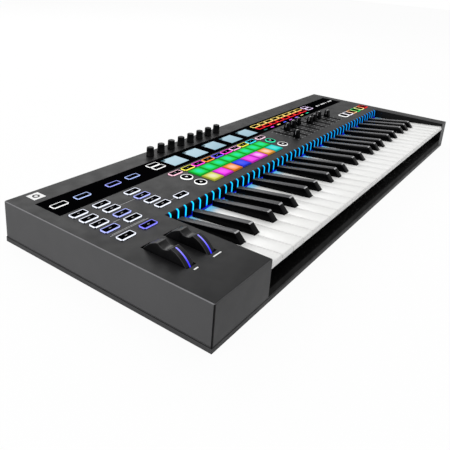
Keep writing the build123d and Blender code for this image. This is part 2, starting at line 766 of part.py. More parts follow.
# ---- encoders and knobs
encoder_size = 12.0
encoder_height = 6.5
bushing_proud = 0.3
bushing_top = case_height + bushing_proud
shaft_floor = 2.0
shaft_low = board_top + shaft_floor
with BuildPart() as encoder_units:
    with BuildSketch(Plane.XY.offset(board_top)):
        with Locations(*places(knob_points)):
            Rectangle(encoder_size, encoder_size)
    extrude(amount=encoder_height)
    with BuildSketch(Plane.XY.offset(board_top)):
        with Locations(*places(knob_points)):
            Circle(bushing_diameter / 2)
    extrude(amount=bushing_top - board_top)
    with BuildSketch(Plane.XY.offset(shaft_low - seat_gap)):
        with Locations(*places(knob_points)):
            Circle(shaft_diameter / 2 + fit_gap)
    extrude(amount=bushing_top - shaft_low + seat_gap, mode=Mode.SUBTRACT)
finish(encoder_units, "encoder_units")

knob_low = case_height + knob_gap
for number, (x, y) in enumerate(knob_points, 1):
    with BuildPart() as knob:
        with BuildSketch(Plane.XY.offset(knob_low)):
            with Locations(place(x, y)):
                Circle(knob_base / 2)
        with BuildSketch(Plane.XY.offset(knob_low + knob_height)):
            with Locations(place(x, y)):
                Circle(knob_top / 2)
        loft()
        with BuildSketch(Plane.XY.offset(shaft_low)):
            with Locations(place(x, y)):
                Circle(shaft_diameter / 2)
        extrude(amount=knob_low - shaft_low)
    finish(knob, f"knob_{number}")

# ---- fader units and caps
unit_end = 4.0
unit_length = fader_slot_length + 2 * unit_end
stem_floor = 2.0
stem_low = board_top + stem_floor
with BuildPart() as fader_units:
    with BuildSketch(Plane.XY.offset(board_top)):
        with Locations(*places([(x, fader_middle) for x in fader_columns])):
            Rectangle(fader_unit_width, unit_length)
    extrude(amount=fader_unit_height)
    with BuildSketch(Plane.XY.offset(stem_low - seat_gap)):
        with Locations(*places([(x, fader_middle) for x in fader_columns])):
            Rectangle(fader_slot_width, fader_slot_length)
    extrude(amount=board_top + fader_unit_height - stem_low + seat_gap, mode=Mode.SUBTRACT)
finish(fader_units, "fader_units")

cap_low = case_height + cap_gap
for number, (x, offset) in enumerate(zip(fader_columns, fader_set), 1):
    centre = place(x, fader_middle + offset)
    cap_plane = Plane(origin=(centre[0] - cap_width / 2, centre[1], cap_low), x_dir=(0, 1, 0), z_dir=(1, 0, 0))
    half = cap_depth / 2
    waist = half - cap_waist
    with BuildPart() as fader_cap:
        with BuildSketch(cap_plane):
            with BuildLine():
                Polyline(
                    (-half, 0), (half, 0), (waist, cap_height / 2), (waist, cap_height - cap_round),
                    (waist - cap_round, cap_height), (cap_round - waist, cap_height),
                    (-waist, cap_height - cap_round), (-waist, cap_height / 2), close=True,
                )
            make_face()
        extrude(amount=cap_width)
        with BuildSketch(Plane.XY.offset(stem_low)):
            with Locations(centre):
                Rectangle(fader_stem_width, fader_stem_depth)
        extrude(amount=cap_low - stem_low)
    finish(fader_cap, f"fader_cap_{number}")

# ---- wheels: a fan-shaped rim on a hub, with a thumb notch at the crest
axle_height = case_height - wheel_drop
axle_reach = wheel_width / 2 + bracket_gap + bracket_plate
notch_axis = wheel_radius - notch_depth + notch_radius
rim_low = wheel_fan - 90.0
for name, x in zip(("pitch_wheel", "mod_wheel"), wheel_places):
    origin = place(x, wheel_depth)
    wheel_plane = Plane(origin=(origin[0], origin[1], axle_height), x_dir=(0, 1, 0), z_dir=(1, 0, 0))
    with BuildPart() as wheel:
        with BuildSketch(wheel_plane):
            with BuildLine():
                rim = CenterArc((0, 0), wheel_radius, -rim_low, 2 * wheel_fan)
                Line(rim @ 0, (0, 0))
                Line((0, 0), rim @ 1)
            make_face()
            Circle(hub_radius)
            with Locations((0, notch_axis)):
                Circle(notch_radius, mode=Mode.SUBTRACT)
        extrude(amount=wheel_width / 2, both=True)
        with BuildSketch(wheel_plane):
            Circle(axle_diameter / 2)
        extrude(amount=axle_reach, both=True)
    finish(wheel, name)

bracket_front = wheel_depth - bracket_half_depth
bracket_top = axle_height + bracket_rise
plate_offset = wheel_width / 2 + bracket_gap + bracket_plate / 2
plate_centres = [x + side * plate_offset for x in wheel_places for side in (-1, 1)]
with BuildPart() as wheel_bracket:
    with BuildSketch(Plane.XY.offset(floor_top)):
        with Locations(place((wheel_places[0] + wheel_places[1]) / 2, wheel_depth)):
            Rectangle(wheel_places[1] - wheel_places[0] + 2 * axle_reach, 2 * bracket_half_depth)
    extrude(amount=frame_floor)
    with BuildSketch(Plane.XY.offset(floor_top)):
        with Locations(*places([(x, wheel_depth) for x in plate_centres])):
            Rectangle(bracket_plate, 2 * bracket_half_depth)
    extrude(amount=bracket_top - floor_top)
    with BuildSketch(Plane.YZ.offset(-case_length / 2)):
        with Locations((wheel_depth - case_depth / 2, axle_height)):
            Circle(axle_diameter / 2 + fit_gap)
    extrude(amount=left_cheek, mode=Mode.SUBTRACT)
finish(wheel_bracket, "wheel_bracket")

pot_places = [wheel_places[0] - axle_reach - pot_thickness, wheel_places[1] + axle_reach]
with BuildPart() as wheel_pots:
    for x in pot_places:
        with BuildSketch(Plane.YZ.offset(x + fit_gap - case_length / 2)):
            with Locations((wheel_depth - case_depth / 2, axle_height)):
                Rectangle(pot_size, pot_size)
        extrude(amount=pot_thickness - 2 * fit_gap)
finish(wheel_pots, "wheel_pots")

# ---- main board on the tray's standoffs, with its larger chips
chip_row = board_front + 22.0
chip_size = 18.0
memory_width = 10.0
memory_depth = 14.0
chip_height = 1.4
with BuildPart() as main_board:
    with BuildSketch(Plane.XY.offset(main_board_top - board_thickness)):
        with Locations(place((board_left + board_right) / 2, (board_front + board_back) / 2)):
            Rectangle(board_right - board_left, board_back - board_front)
        with Locations(*places(boss_points)):
            Circle(boss_diameter / 2 + boss_clearance, mode=Mode.SUBTRACT)
    extrude(amount=board_thickness)
    with BuildSketch(Plane.XY.offset(main_board_top)):
        with Locations(place(usb_x, chip_row), place(din_out_x, chip_row)):
            Rectangle(chip_size, chip_size)
        with Locations(place(pedal_x, chip_row)):
            Rectangle(memory_width, memory_depth)
    extrude(amount=chip_height)
finish(main_board, "main_board")

# ---- rear sockets: power inlet, USB, two DIN sockets, two jack sockets
block_back = inner_back - snug_back


def socket_block(x, width, depth, height):
    """The body of a socket, standing on the main board against the back of the case."""
    with BuildSketch(Plane.XY.offset(main_board_top)) as block:
        with Locations(place(x, block_back - depth / 2)):
            Rectangle(width, depth)
    extrude(block.sketch, amount=height)


back_plane = Plane.XZ.offset(-(nose_face - case_depth / 2))
block_plane = Plane.XZ.offset(-(block_back - case_depth / 2))
nose_length = nose_face - block_back
round_sockets = [
    (power_x, usb_axis, power_bore, power_bore_depth), (din_in_x, socket_axis, din_bore, din_bore_depth),
    (din_out_x, socket_axis, din_bore, din_bore_depth), (sustain_x, jack_axis, jack_bore, jack_bore_depth),
    (pedal_x, jack_axis, jack_bore, jack_bore_depth),
]
with BuildPart() as rear_sockets:
    socket_block(power_x, *power_block)
    socket_block(usb_x, *usb_block)
    socket_block(din_in_x, *din_block)
    socket_block(din_out_x, *din_block)
    socket_block(sustain_x, *jack_block)
    socket_block(pedal_x, *jack_block)
    with BuildSketch(block_plane):
        for x, height, bore, _ in round_sockets:
            with Locations((x - case_length / 2, height)):
                Circle(bore / 2 + nose_wall)
        with Locations((usb_x - case_length / 2, usb_axis)):
            Rectangle(usb_width + 2 * nose_wall, usb_height + 2 * nose_wall)
    extrude(amount=-nose_length)
    for x, height, bore, bore_depth in round_sockets:
        with BuildSketch(back_plane):
            with Locations((x - case_length / 2, height)):
                Circle(bore / 2)
        extrude(amount=bore_depth, mode=Mode.SUBTRACT)
    with BuildSketch(back_plane):
        with Locations((usb_x - case_length / 2, usb_axis)):
            Rectangle(usb_width, usb_height)
    extrude(amount=usb_depth, mode=Mode.SUBTRACT)
    # centre pin of the power inlet and tongue of the USB socket
    with BuildSketch(Plane.XZ.offset(-(nose_face - mouth_depth - pin_length - case_depth / 2))):
        with Locations((power_x - case_length / 2, usb_axis)):
            Circle(power_pin / 2)
        with Locations((usb_x - case_length / 2, usb_axis)):
            Rectangle(tongue_width, tongue_height)
    extrude(amount=-pin_length)
finish(rear_sockets, "rear_sockets")

# ---- power button: stands out of the back, with its switch body on the main board
with BuildPart() as power_button:
    with BuildSketch(Plane.XZ.offset(-(case_depth / 2 + power_button_proud))):
        with Locations((switch_x - case_length / 2, usb_axis)):
            Rectangle(power_button_width, power_button_height)
    extrude(amount=power_button_depth)
finish(power_button, "power_button")

# ---- feet and screws
with BuildPart() as feet:
    with BuildSketch():
        with Locations(*places(foot_points)):
            Circle(foot_diameter / 2)
    extrude(amount=foot_height)
finish(feet, "feet")

with BuildPart() as case_screws:
    with BuildSketch(Plane.XY.offset(foot_height + screw_seat)):
        with Locations(*places(boss_points)):
            Circle(screw_head / 2)
    extrude(amount=screw_head_depth - screw_seat)
    with BuildSketch(Plane.XY.offset(foot_height + screw_seat)):
        with Locations(*places(boss_points)):
            Circle(screw_diameter / 2)
    extrude(amount=screw_length - screw_spare)
finish(case_screws, "case_screws")

print(f"case {case_length:.1f} x {case_depth:.1f} mm, key press {press_angle:.2f} degrees")
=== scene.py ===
import json
import math

import bmesh
import bpy
from mathutils import Matrix, Vector


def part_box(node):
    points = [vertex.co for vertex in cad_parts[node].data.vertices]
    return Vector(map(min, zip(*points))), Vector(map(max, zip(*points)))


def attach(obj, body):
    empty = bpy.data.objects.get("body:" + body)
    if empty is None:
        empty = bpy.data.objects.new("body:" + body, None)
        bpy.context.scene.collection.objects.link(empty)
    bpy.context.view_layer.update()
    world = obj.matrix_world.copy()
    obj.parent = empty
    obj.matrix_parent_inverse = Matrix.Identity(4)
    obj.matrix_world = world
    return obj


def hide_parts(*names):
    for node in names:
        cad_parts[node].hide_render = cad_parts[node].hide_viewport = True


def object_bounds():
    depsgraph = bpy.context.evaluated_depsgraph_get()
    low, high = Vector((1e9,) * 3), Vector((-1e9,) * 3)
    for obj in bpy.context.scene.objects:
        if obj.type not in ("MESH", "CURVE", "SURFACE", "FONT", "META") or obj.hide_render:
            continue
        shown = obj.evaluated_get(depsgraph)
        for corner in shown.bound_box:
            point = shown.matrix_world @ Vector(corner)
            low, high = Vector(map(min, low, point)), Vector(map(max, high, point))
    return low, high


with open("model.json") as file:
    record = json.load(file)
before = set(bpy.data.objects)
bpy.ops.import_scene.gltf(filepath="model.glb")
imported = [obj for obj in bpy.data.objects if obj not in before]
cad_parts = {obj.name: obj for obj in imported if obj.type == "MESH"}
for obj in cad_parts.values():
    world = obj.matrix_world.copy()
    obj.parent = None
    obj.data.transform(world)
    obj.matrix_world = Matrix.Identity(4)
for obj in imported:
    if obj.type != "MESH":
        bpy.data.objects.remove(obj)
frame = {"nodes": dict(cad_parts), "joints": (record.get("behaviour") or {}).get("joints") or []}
cadLow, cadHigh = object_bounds()
mm = 0.001
print("frame loaded:", len(frame["nodes"]), "nodes")


# colours are written as hex and used as linear values
def shade(text):
    parts = [int(text[n:n + 2], 16) / 255 for n in (0, 2, 4)]
    linear = [c / 12.92 if c <= 0.04045 else ((c + 0.055) / 1.055) ** 2.4 for c in parts]
    return (*linear, 1.0)


# material helpers
def startMaterial(name):
    material = bpy.data.materials.new(name)
    material.use_nodes = True
    nodes = material.node_tree.nodes
    return material, nodes, material.node_tree.links, nodes["Principled BSDF"]


def setInputs(node, values):
    for key, value in values.items():
        node.inputs[key].default_value = value


def addNode(nodes, kind, **values):
    node = nodes.new(kind)
    for key, value in values.items():
        if key in node.inputs:
            node.inputs[key].default_value = value
        else:
            setattr(node, key, value)
    return node


def objectPoint(nodes):
    return addNode(nodes, "ShaderNodeTexCoord").outputs["Object"]


def axesOf(nodes, links, point):
    split = addNode(nodes, "ShaderNodeSeparateXYZ")
    links.new(point, split.inputs["Vector"])
    return split.outputs


# a value carried from one range to another
def ranged(nodes, links, value, fromRange, toRange=(0.0, 1.0), smooth=False):
    node = addNode(nodes, "ShaderNodeMapRange", interpolation_type="SMOOTHSTEP" if smooth else "LINEAR")
    setInputs(node, {"From Min": fromRange[0], "From Max": fromRange[1], "To Min": toRange[0], "To Max": toRange[1]})
    links.new(value, node.inputs["Value"])
    return node.outputs["Result"]


def noiseAt(nodes, links, point, scale, detail=3.0):
    noise = addNode(nodes, "ShaderNodeTexNoise", Scale=scale, Detail=detail, Roughness=0.5)
    links.new(point, noise.inputs["Vector"])
    return noise.outputs["Fac"]


# noise keeps to the middle of its range, so that part is spread over the two values
def spreadOf(nodes, links, noise, low, high):
    return ranged(nodes, links, noise, (0.3, 0.7), (low, high))


# a math node on two values, each a socket or a number
def maths(nodes, links, operation, first, second):
    node = addNode(nodes, "ShaderNodeMath", operation=operation)
    for socket, value in zip(node.inputs, (first, second)):
        if isinstance(value, (int, float)):
            socket.default_value = value
        else:
            links.new(value, socket)
    return node.outputs["Value"]


def vectorMaths(nodes, links, operation, first, second=(0.0, 0.0, 0.0)):
    node = addNode(nodes, "ShaderNodeVectorMath", operation=operation)
    node.inputs[1].default_value = second
    links.new(first, node.inputs[0])
    return node.outputs["Value" if operation in ("LENGTH", "DISTANCE") else "Vector"]


def scaled(nodes, links, colour, factor):
    node = addNode(nodes, "ShaderNodeVectorMath", operation="SCALE")
    links.new(colour, node.inputs[0])
    links.new(factor, node.inputs["Scale"])
    return node.outputs["Vector"]


def mixColours(nodes, links, factor, first, second):
    mix = addNode(nodes, "ShaderNodeMix", data_type="RGBA")
    colourIn = [s for s in mix.inputs if s.type == "RGBA"]
    for socket, value in zip(colourIn, (first, second)):
        if isinstance(value, tuple):
            socket.default_value = value
        else:
            links.new(value, socket)
    links.new(factor, [s for s in mix.inputs if s.name == "Factor" and s.type == "VALUE"][0])
    return [s for s in mix.outputs if s.type == "RGBA"][0]


# what a plastic has where its own settings say nothing
plainPlastic = {"cloudScale": 9.0, "grainScale": 1800.0, "grainStrength": 0.2, "grainDepth": 0.06 * mm,
                "glossScale": 55.0, "specular": 0.5, "metallic": 0.0}


# plastic with a moulded grain, slight changes of tone and of gloss
def mouldedPlastic(name, own):
    look = {**plainPlastic, **own}
    material, nodes, links, shader = startMaterial(name)
    point = objectPoint(nodes)
    cloud = spreadOf(nodes, links, noiseAt(nodes, links, point, look["cloudScale"], 4.0), 0, 1)
    colour = mixColours(nodes, links, cloud, look["dark"], look["light"])

    def stored(attribute):
        return addNode(nodes, "ShaderNodeAttribute", attribute_name=attribute).outputs["Fac"]

    # painted light: faces that look up take their own pair of tones, a painted shade on the case and a painted sheen
    # on the black keys, and rounded edges a painted highlight tone
    if "paintedTopDark" in look:  # a second pair of tones for the faces that look up, and a tone for rounded edges
        paintedTopColour = mixColours(nodes, links, cloud, look["paintedTopDark"], look["paintedTopLight"])
        colour = mixColours(nodes, links, stored("upward"), colour, paintedTopColour)
        colour = mixColours(nodes, links, stored("rim"), colour, look["rim"])
    # painted shade on the walls inside the openings
    if "inner" in look:  # walls inside the openings
        colour = mixColours(nodes, links, stored("inner"), colour, look["inner"])
    links.new(colour, shader.inputs["Base Color"])
    mottled = noiseAt(nodes, links, point, look["glossScale"])
    links.new(spreadOf(nodes, links, mottled, *look["roughness"]), shader.inputs["Roughness"])
    bump = addNode(nodes, "ShaderNodeBump", Strength=look["grainStrength"], Distance=look["grainDepth"])
    links.new(noiseAt(nodes, links, point, look["grainScale"], 2.0), bump.inputs["Height"])
    links.new(bump.outputs["Normal"], shader.inputs["Normal"])
    setInputs(shader, {"Specular IOR Level": look["specular"], "Metallic": look["metallic"]})
    return material


glowLook = {"cloudScale": 420.0, "dim": 0.9, "bright": 1.06, "body": (0.02, 0.02, 0.02, 1.0), "roughness": 0.35}


# lit plastic: its own colour, or the colour stored on the piece in the glow attribute
def glowing(name, strength, colour=None):
    material, nodes, links, shader = startMaterial(name)
    noise = noiseAt(nodes, links, objectPoint(nodes), glowLook["cloudScale"], 2.0)
    cloud = spreadOf(nodes, links, noise, glowLook["dim"], glowLook["bright"])
    if colour is None:
        source = addNode(nodes, "ShaderNodeAttribute", attribute_name="glow").outputs["Color"]
    else:
        source = addNode(nodes, "ShaderNodeRGB").outputs[0]
        source.default_value = colour
    links.new(scaled(nodes, links, source, cloud), shader.inputs["Emission Color"])
    setInputs(shader, {"Emission Strength": strength, "Base Color": glowLook["body"],
                       "Roughness": glowLook["roughness"], "Specular IOR Level": 0.0})
    return material


# mesh helpers
weldReach = 2e-6  # corners of a CAD mesh closer than this are one corner
flatAngle, sharpAngle = math.radians(0.5), math.radians(25)


# closes a mesh as a piece; with smoothBelow, edges flatter than that many degrees are shaded smooth
def meshObject(name, bm, material, smoothBelow=None):
    bmesh.ops.recalc_face_normals(bm, faces=bm.faces)
    mesh = bpy.data.meshes.new(name)
    bm.to_mesh(mesh)
    bm.free()
    piece = bpy.data.objects.new(name, mesh)
    bpy.context.collection.objects.link(piece)
    mesh.materials.append(material)
    for polygon in mesh.polygons:
        polygon.use_smooth = smoothBelow is not None
    if smoothBelow is not None:
        mesh.set_sharp_from_angle(angle=math.radians(smoothBelow))
    return piece


# a copy of a CAD node's mesh with its loose triangles joined
def mergedCopy(nodeName):
    bm = bmesh.new()
    bm.from_mesh(frame["nodes"][nodeName].data)
    bmesh.ops.remove_doubles(bm, verts=bm.verts, dist=weldReach)
    return bm


# the same, with its flat faces whole again
def flatCopy(nodeName):
    bm = mergedCopy(nodeName)
    bmesh.ops.dissolve_limit(bm, angle_limit=flatAngle, verts=bm.verts, edges=bm.edges)
    return bm


# the box of each separate solid of a CAD node, left to right, then front to back
def looseParts(nodeName):
    bm = mergedCopy(nodeName)
    waiting = set(bm.verts)
    boxes = []
    while waiting:
        stack = [waiting.pop()]
        group = []
        while stack:
            vert = stack.pop()
            group.append(vert.co.copy())
            for edge in vert.link_edges:
                other = edge.other_vert(vert)
                if other in waiting:
                    waiting.remove(other)
                    stack.append(other)
        low = Vector([min(p[n] for p in group) for n in range(3)])
        high = Vector([max(p[n] for p in group) for n in range(3)])
        boxes.append((low, high))
    bm.free()
    return sorted(boxes, key=lambda b: (round(b[0].x, 4), round(b[0].y, 4)))


def topCentre(low, high):
    return Vector(((low.x + high.x) / 2, (low.y + high.y) / 2, high.z))


def topCentres(boxes):
    return [topCentre(low, high) for low, high in boxes]


# where a point lies in a box seen from above, from 0 to 1 each way
def shareOf(point, low, high):
    return (point.x - low.x) / (high.x - low.x), (point.y - low.y) / (high.y - low.y)


def isCorner(edge, leastAngle):
    return len(edge.link_faces) == 2 and edge.is_convex and edge.calc_face_angle(0) > leastAngle


def bevelEdges(bm, edges, radius, segments):
    bmesh.ops.bevel(bm, geom=edges, offset=radius, offset_type="OFFSET", segments=segments, profile=0.5,
                    affect="EDGES", clamp_overlap=True)


# a copy of a CAD node with its edges rounded
def softened(nodeName, pieceName, material, radius, segments=3, roundFirst=None):
    bm = flatCopy(nodeName)
    if roundFirst:
        roundFirst(bm)
    bevelEdges(bm, [e for e in bm.edges if isCorner(e, sharpAngle)], radius, segments)
    return meshObject(pieceName, bm, material, smoothBelow=40)


# how much of its painted highlight each rounded edge takes
paintedHighlightShares = {"case": 1.0, "keyFront": 0.55, "keySide": 0.12, "wheel": 0.5}
sideLean = 0.25  # a normal that leans sideways by more than this belongs to a side edge


# true for a normal's share that only the round of an edge has, and neither flat face beside it
def onRound(share):
    return 0.3 < share < 0.93


# painted highlight along the case's rounded side edges
def caseRim(x, y, z):
    return paintedHighlightShares["case"] if onRound(z) and abs(x) > sideLean else 0.0


# painted highlights: a thin line down both sides of the top and a bright painted glint at its front edge
def blackKeyRim(x, y, z):
    if 0.7 < z < 0.97 and y < -0.2:
        return paintedHighlightShares["keyFront"]
    return paintedHighlightShares["keySide"] if onRound(z) and abs(x) > sideLean and y > -0.3 else 0.0


# painted highlight on the wheel's rounded edges
def wheelRim(x, y, z):
    return paintedHighlightShares["wheel"] if onRound(abs(x)) else 0.0


# upward is 1 on the faces that look up, which take a painted top tone; rim is how far a rounded edge turns to its
# painted highlight tone
def markUpward(piece, rimShare):
    upward = piece.data.attributes.new("upward", "FLOAT", "CORNER")
    rim = piece.data.attributes.new("rim", "FLOAT", "CORNER")
    for polygon in piece.data.polygons:
        share = min(1.0, max(0.0, (polygon.normal.z - 0.9) / 0.08))
        edgeShare = rimShare(*polygon.normal)
        for corner in polygon.loop_indices:
            upward.data[corner].value = share
            rim.data[corner].value = edgeShare


# the side faces between two loops of corners
def joinLoops(bm, lower, upper):
    count = len(lower)
    return [bm.faces.new((lower[k], lower[(k + 1) % count], upper[(k + 1) % count], upper[k]))
            for k in range(count)]


# a closed slab with a flat outline
def slab(bm, outline, low, high):
    lower = [bm.verts.new((x, y, low)) for x, y in outline]
    upper = [bm.verts.new((x, y, high)) for x, y in outline]
    return [bm.faces.new(list(reversed(lower))), bm.faces.new(upper), *joinLoops(bm, lower, upper)]


# closed blocks, each given by its low and high corner
def blocks(name, boxes, material):
    bm = bmesh.new()
    for x0, y0, z0, x1, y1, z1 in boxes:
        middle = Vector(((x0 + x1) / 2, (y0 + y1) / 2, (z0 + z1) / 2))
        size = (x1 - x0, y1 - y0, z1 - z0)
        bmesh.ops.create_cube(bm, size=1, matrix=Matrix.Translation(middle) @ Matrix.Diagonal((*size, 1)))
    return meshObject(name, bm, material)


def settle(piece, body, slotName, *nodes):
    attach(piece, body)
    if nodes:
        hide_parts(*nodes)


# geometry node helpers: a tree has one named input for each size, and these are its first values
def startTree(name, sizes):
    tree = bpy.data.node_groups.new(name, "GeometryNodeTree")
    tree.interface.new_socket("Geometry", in_out="INPUT", socket_type="NodeSocketGeometry")
    tree.interface.new_socket("Geometry", in_out="OUTPUT", socket_type="NodeSocketGeometry")
    for key, value in sizes.items():
        kind = "NodeSocketInt" if isinstance(value, int) else "NodeSocketFloat"
        socket = tree.interface.new_socket(key, in_out="INPUT", socket_type=kind)
        socket.default_value = value
    tree.interface.new_socket("Material", in_out="INPUT", socket_type="NodeSocketMaterial")
    return tree, tree.nodes.new("NodeGroupInput").outputs


# a new node with some of its inputs fed by the tree's own
def fedNode(tree, given, kind, **feeds):
    node = tree.nodes.new(kind)
    for socketName, size in feeds.items():
        tree.links.new(given[size], node.inputs[socketName])
    return node


def onPoints(tree, points, mesh):
    place = tree.nodes.new("GeometryNodeInstanceOnPoints")
    tree.links.new(points, place.inputs["Points"])
    tree.links.new(mesh, place.inputs["Instance"])
    return place.outputs["Instances"]


def finishTree(tree, given, instances):
    realize = tree.nodes.new("GeometryNodeRealizeInstances")
    paint = fedNode(tree, given, "GeometryNodeSetMaterial", Material="Material")
    tree.links.new(instances, realize.inputs["Geometry"])
    tree.links.new(realize.outputs["Geometry"], paint.inputs["Geometry"])
    tree.links.new(paint.outputs["Geometry"], tree.nodes.new("NodeGroupOutput").inputs["Geometry"])
    return tree


# a flat strip swept along a path
def sweptStrip(tree, given, path):
    strip = fedNode(tree, given, "GeometryNodeCurvePrimitiveQuadrilateral", Width="line", Height="rise")
    sweep = tree.nodes.new("GeometryNodeCurveToMesh")
    tree.links.new(path, sweep.inputs["Curve"])
    tree.links.new(strip.outputs["Curve"], sweep.inputs["Profile Curve"])
    return sweep.outputs["Mesh"]


# runs a tree on a set of points, each with its own glow colour, and keeps the plain mesh
def scatterOn(pieceName, points, colours, tree, sizes, material):
    seeds = bpy.data.meshes.new(pieceName + "Seeds")
    seeds.from_pydata([tuple(p) for p in points], [], [])
    glow = seeds.attributes.new("glow", "FLOAT_COLOR", "POINT")
    for n, colour in enumerate(colours):
        glow.data[n].color = colour
    holder = bpy.data.objects.new(pieceName + "Holder", seeds)
    bpy.context.collection.objects.link(holder)
    modifier = holder.modifiers.new("grow", "NODES")
    modifier.node_group = tree
    for socket in tree.interface.items_tree:
        if socket.in_out != "INPUT" or socket.socket_type == "NodeSocketGeometry":
            continue
        modifier[socket.identifier] = material if socket.name == "Material" else sizes[socket.name]
    evaluated = holder.evaluated_get(bpy.context.evaluated_depsgraph_get())
    mesh = bpy.data.meshes.new_from_object(evaluated)
    mesh.name = pieceName
    holder.modifiers.remove(modifier)
    bpy.data.objects.remove(holder)
    piece = bpy.data.objects.new(pieceName, mesh)
    bpy.context.collection.objects.link(piece)
    return piece


# lit outline of a rectangular button: a rounded rectangle swept with a flat strip
def outlineTree():
    tree, given = startTree("litOutline", {
        "width": 20 * mm, "depth": 10 * mm, "corner": 1 * mm, "line": 0.8 * mm, "rise": 0.3 * mm})
    path = fedNode(tree, given, "GeometryNodeCurvePrimitiveQuadrilateral", Width="width", Height="depth")
    rounded = fedNode(tree, given, "GeometryNodeFilletCurve", Radius="corner")
    rounded.mode = "POLY"
    rounded.inputs["Count"].default_value = 4
    tree.links.new(path.outputs["Curve"], rounded.inputs["Curve"])
    strip = sweptStrip(tree, given, rounded.outputs["Curve"])
    return finishTree(tree, given, onPoints(tree, given["Geometry"], strip))


# lit ring of a round button
def ringTree():
    tree, given = startTree("litRing", {"radius": 8 * mm, "line": 0.9 * mm, "rise": 0.3 * mm})
    path = fedNode(tree, given, "GeometryNodeCurvePrimitiveCircle", Radius="radius")
    path.inputs["Resolution"].default_value = 48
    strip = sweptStrip(tree, given, path.outputs["Curve"])
    return finishTree(tree, given, onPoints(tree, given["Geometry"], strip))


# a small flat bar on each point: printed marks, ticks and lit bars
def barTree():
    tree, given = startTree("smallBar", {"width": 6 * mm, "depth": 1 * mm, "rise": 0.2 * mm})
    size = fedNode(tree, given, "ShaderNodeCombineXYZ", X="width", Y="depth", Z="rise")
    bar = tree.nodes.new("GeometryNodeMeshCube")
    tree.links.new(size.outputs["Vector"], bar.inputs["Size"])
    return finishTree(tree, given, onPoints(tree, given["Geometry"], bar.outputs["Mesh"]))


# a row of upright round ribs along X, starting at each point
def ribTree():
    tree, given = startTree("ribRow", {"count": 10, "spacing": 1 * mm, "radius": 0.4 * mm, "height": 10 * mm})
    row = fedNode(tree, given, "GeometryNodeMeshLine", Count="count")
    step = fedNode(tree, given, "ShaderNodeCombineXYZ", X="spacing")
    tree.links.new(step.outputs["Vector"], row.inputs["Offset"])
    rib = fedNode(tree, given, "GeometryNodeMeshCylinder", Radius="radius", Depth="height")
    rib.inputs["Vertices"].default_value = 8
    ribs = onPoints(tree, row.outputs["Mesh"], rib.outputs["Mesh"])
    return finishTree(tree, given, onPoints(tree, given["Geometry"], ribs))


outlines, rings, bars, ribRows = outlineTree(), ringTree(), barTree(), ribTree()

# materials for the whole object
# painted light on the case: its top takes a darker painted shade than its sides, its rounded side edges a painted
# highlight and the walls inside its openings a painted shade
casePlastic = mouldedPlastic("charcoalCasePlastic", {
    "dark": shade("464647"), "light": shade("4c4c4d"), "paintedTopDark": shade("101011"), "paintedTopLight": shade("151516"),
    "rim": shade("7c7c7e"), "inner": shade("050505"), "roughness": (0.44, 0.54), "grainStrength": 0.35,
    "grainScale": 1500.0, "cloudScale": 6.0, "specular": 0.11})
trayPlastic = mouldedPlastic("blackTrayPlastic", {
    "dark": shade("3a3a3b"), "light": shade("404041"), "roughness": (0.42, 0.55), "specular": 0.1})
railPlastic = mouldedPlastic("ribbedBlackPlastic", {
    "dark": shade("040404"), "light": shade("080809"), "roughness": (0.45, 0.6), "specular": 0.05})
# painted shade: near-black for the front rail under the key fronts, the fader units and the slot surrounds
recessShadePlastic = mouldedPlastic("recessShadeBlackPlastic", {
    "dark": shade("030303"), "light": shade("060606"), "roughness": (0.5, 0.6), "specular": 0.02})
stripGlass = mouldedPlastic("blackStripGlass", {
    "dark": shade("020203"), "light": shade("050506"), "roughness": (0.10, 0.16), "specular": 0.0,
    "grainStrength": 0.02})
whiteKeyPlastic = mouldedPlastic("whiteKeyPlastic", {
    "dark": shade("eeeeec"), "light": shade("f2f2f1"), "roughness": (0.30, 0.38), "grainStrength": 0.05,
    "cloudScale": 14.0, "specular": 0.3})
# black keys: a painted lighter sheen on the tops and painted glints on the rounded edges
blackKeyPlastic = mouldedPlastic("blackKeyPlastic", {
    "dark": shade("020203"), "light": shade("050506"), "paintedTopDark": shade("424244"), "paintedTopLight": shade("505052"),
    "rim": shade("f0f0f2"), "roughness": (0.16, 0.22), "grainStrength": 0.06, "specular": 0.05})
controlPlastic = mouldedPlastic("controlBlackPlastic", {
    "dark": shade("030304"), "light": shade("070708"), "roughness": (0.30, 0.40), "specular": 0.05})
# wheels: a slightly lighter painted top and a painted highlight on the rounded edges
wheelRubber = mouldedPlastic("wheelSoftBlack", {
    "dark": shade("060607"), "light": shade("0a0a0b"), "paintedTopDark": shade("0a0a0b"), "paintedTopLight": shade("0f0f10"),
    "rim": shade("58585a"), "roughness": (0.28, 0.38), "specular": 0.16})
buttonRubber = mouldedPlastic("buttonBlackSilicone", {
    "dark": shade("020303"), "light": shade("060708"), "roughness": (0.4, 0.55), "specular": 0.0})
framePlastic = mouldedPlastic("frameGreyPlastic", {
    "dark": shade("2a2a2c"), "light": shade("343437"), "roughness": (0.5, 0.6)})
socketPlastic = mouldedPlastic("socketBlackPlastic", {
    "dark": shade("0d0d0e"), "light": shade("151516"), "roughness": (0.35, 0.5)})
footRubber = mouldedPlastic("footBlackRubber", {
    "dark": shade("0c0c0c"), "light": shade("141414"), "roughness": (0.75, 0.9), "specular": 0.2})
feltRed = mouldedPlastic("stopFelt", {
    "dark": shade("5a1012"), "light": shade("7a1c1e"), "roughness": (0.9, 1.0), "grainScale": 900.0,
    "grainStrength": 0.9, "grainDepth": 0.3 * mm, "specular": 0.1})
boardGreen = mouldedPlastic("circuitBoardGreen", {
    "dark": shade("0b3a1e"), "light": shade("125030"), "roughness": (0.3, 0.45), "cloudScale": 160.0})
brightSteel = mouldedPlastic("brightSteel", {
    "dark": shade("9a9a9e"), "light": shade("b4b4b8"), "roughness": (0.28, 0.4), "metallic": 1.0})
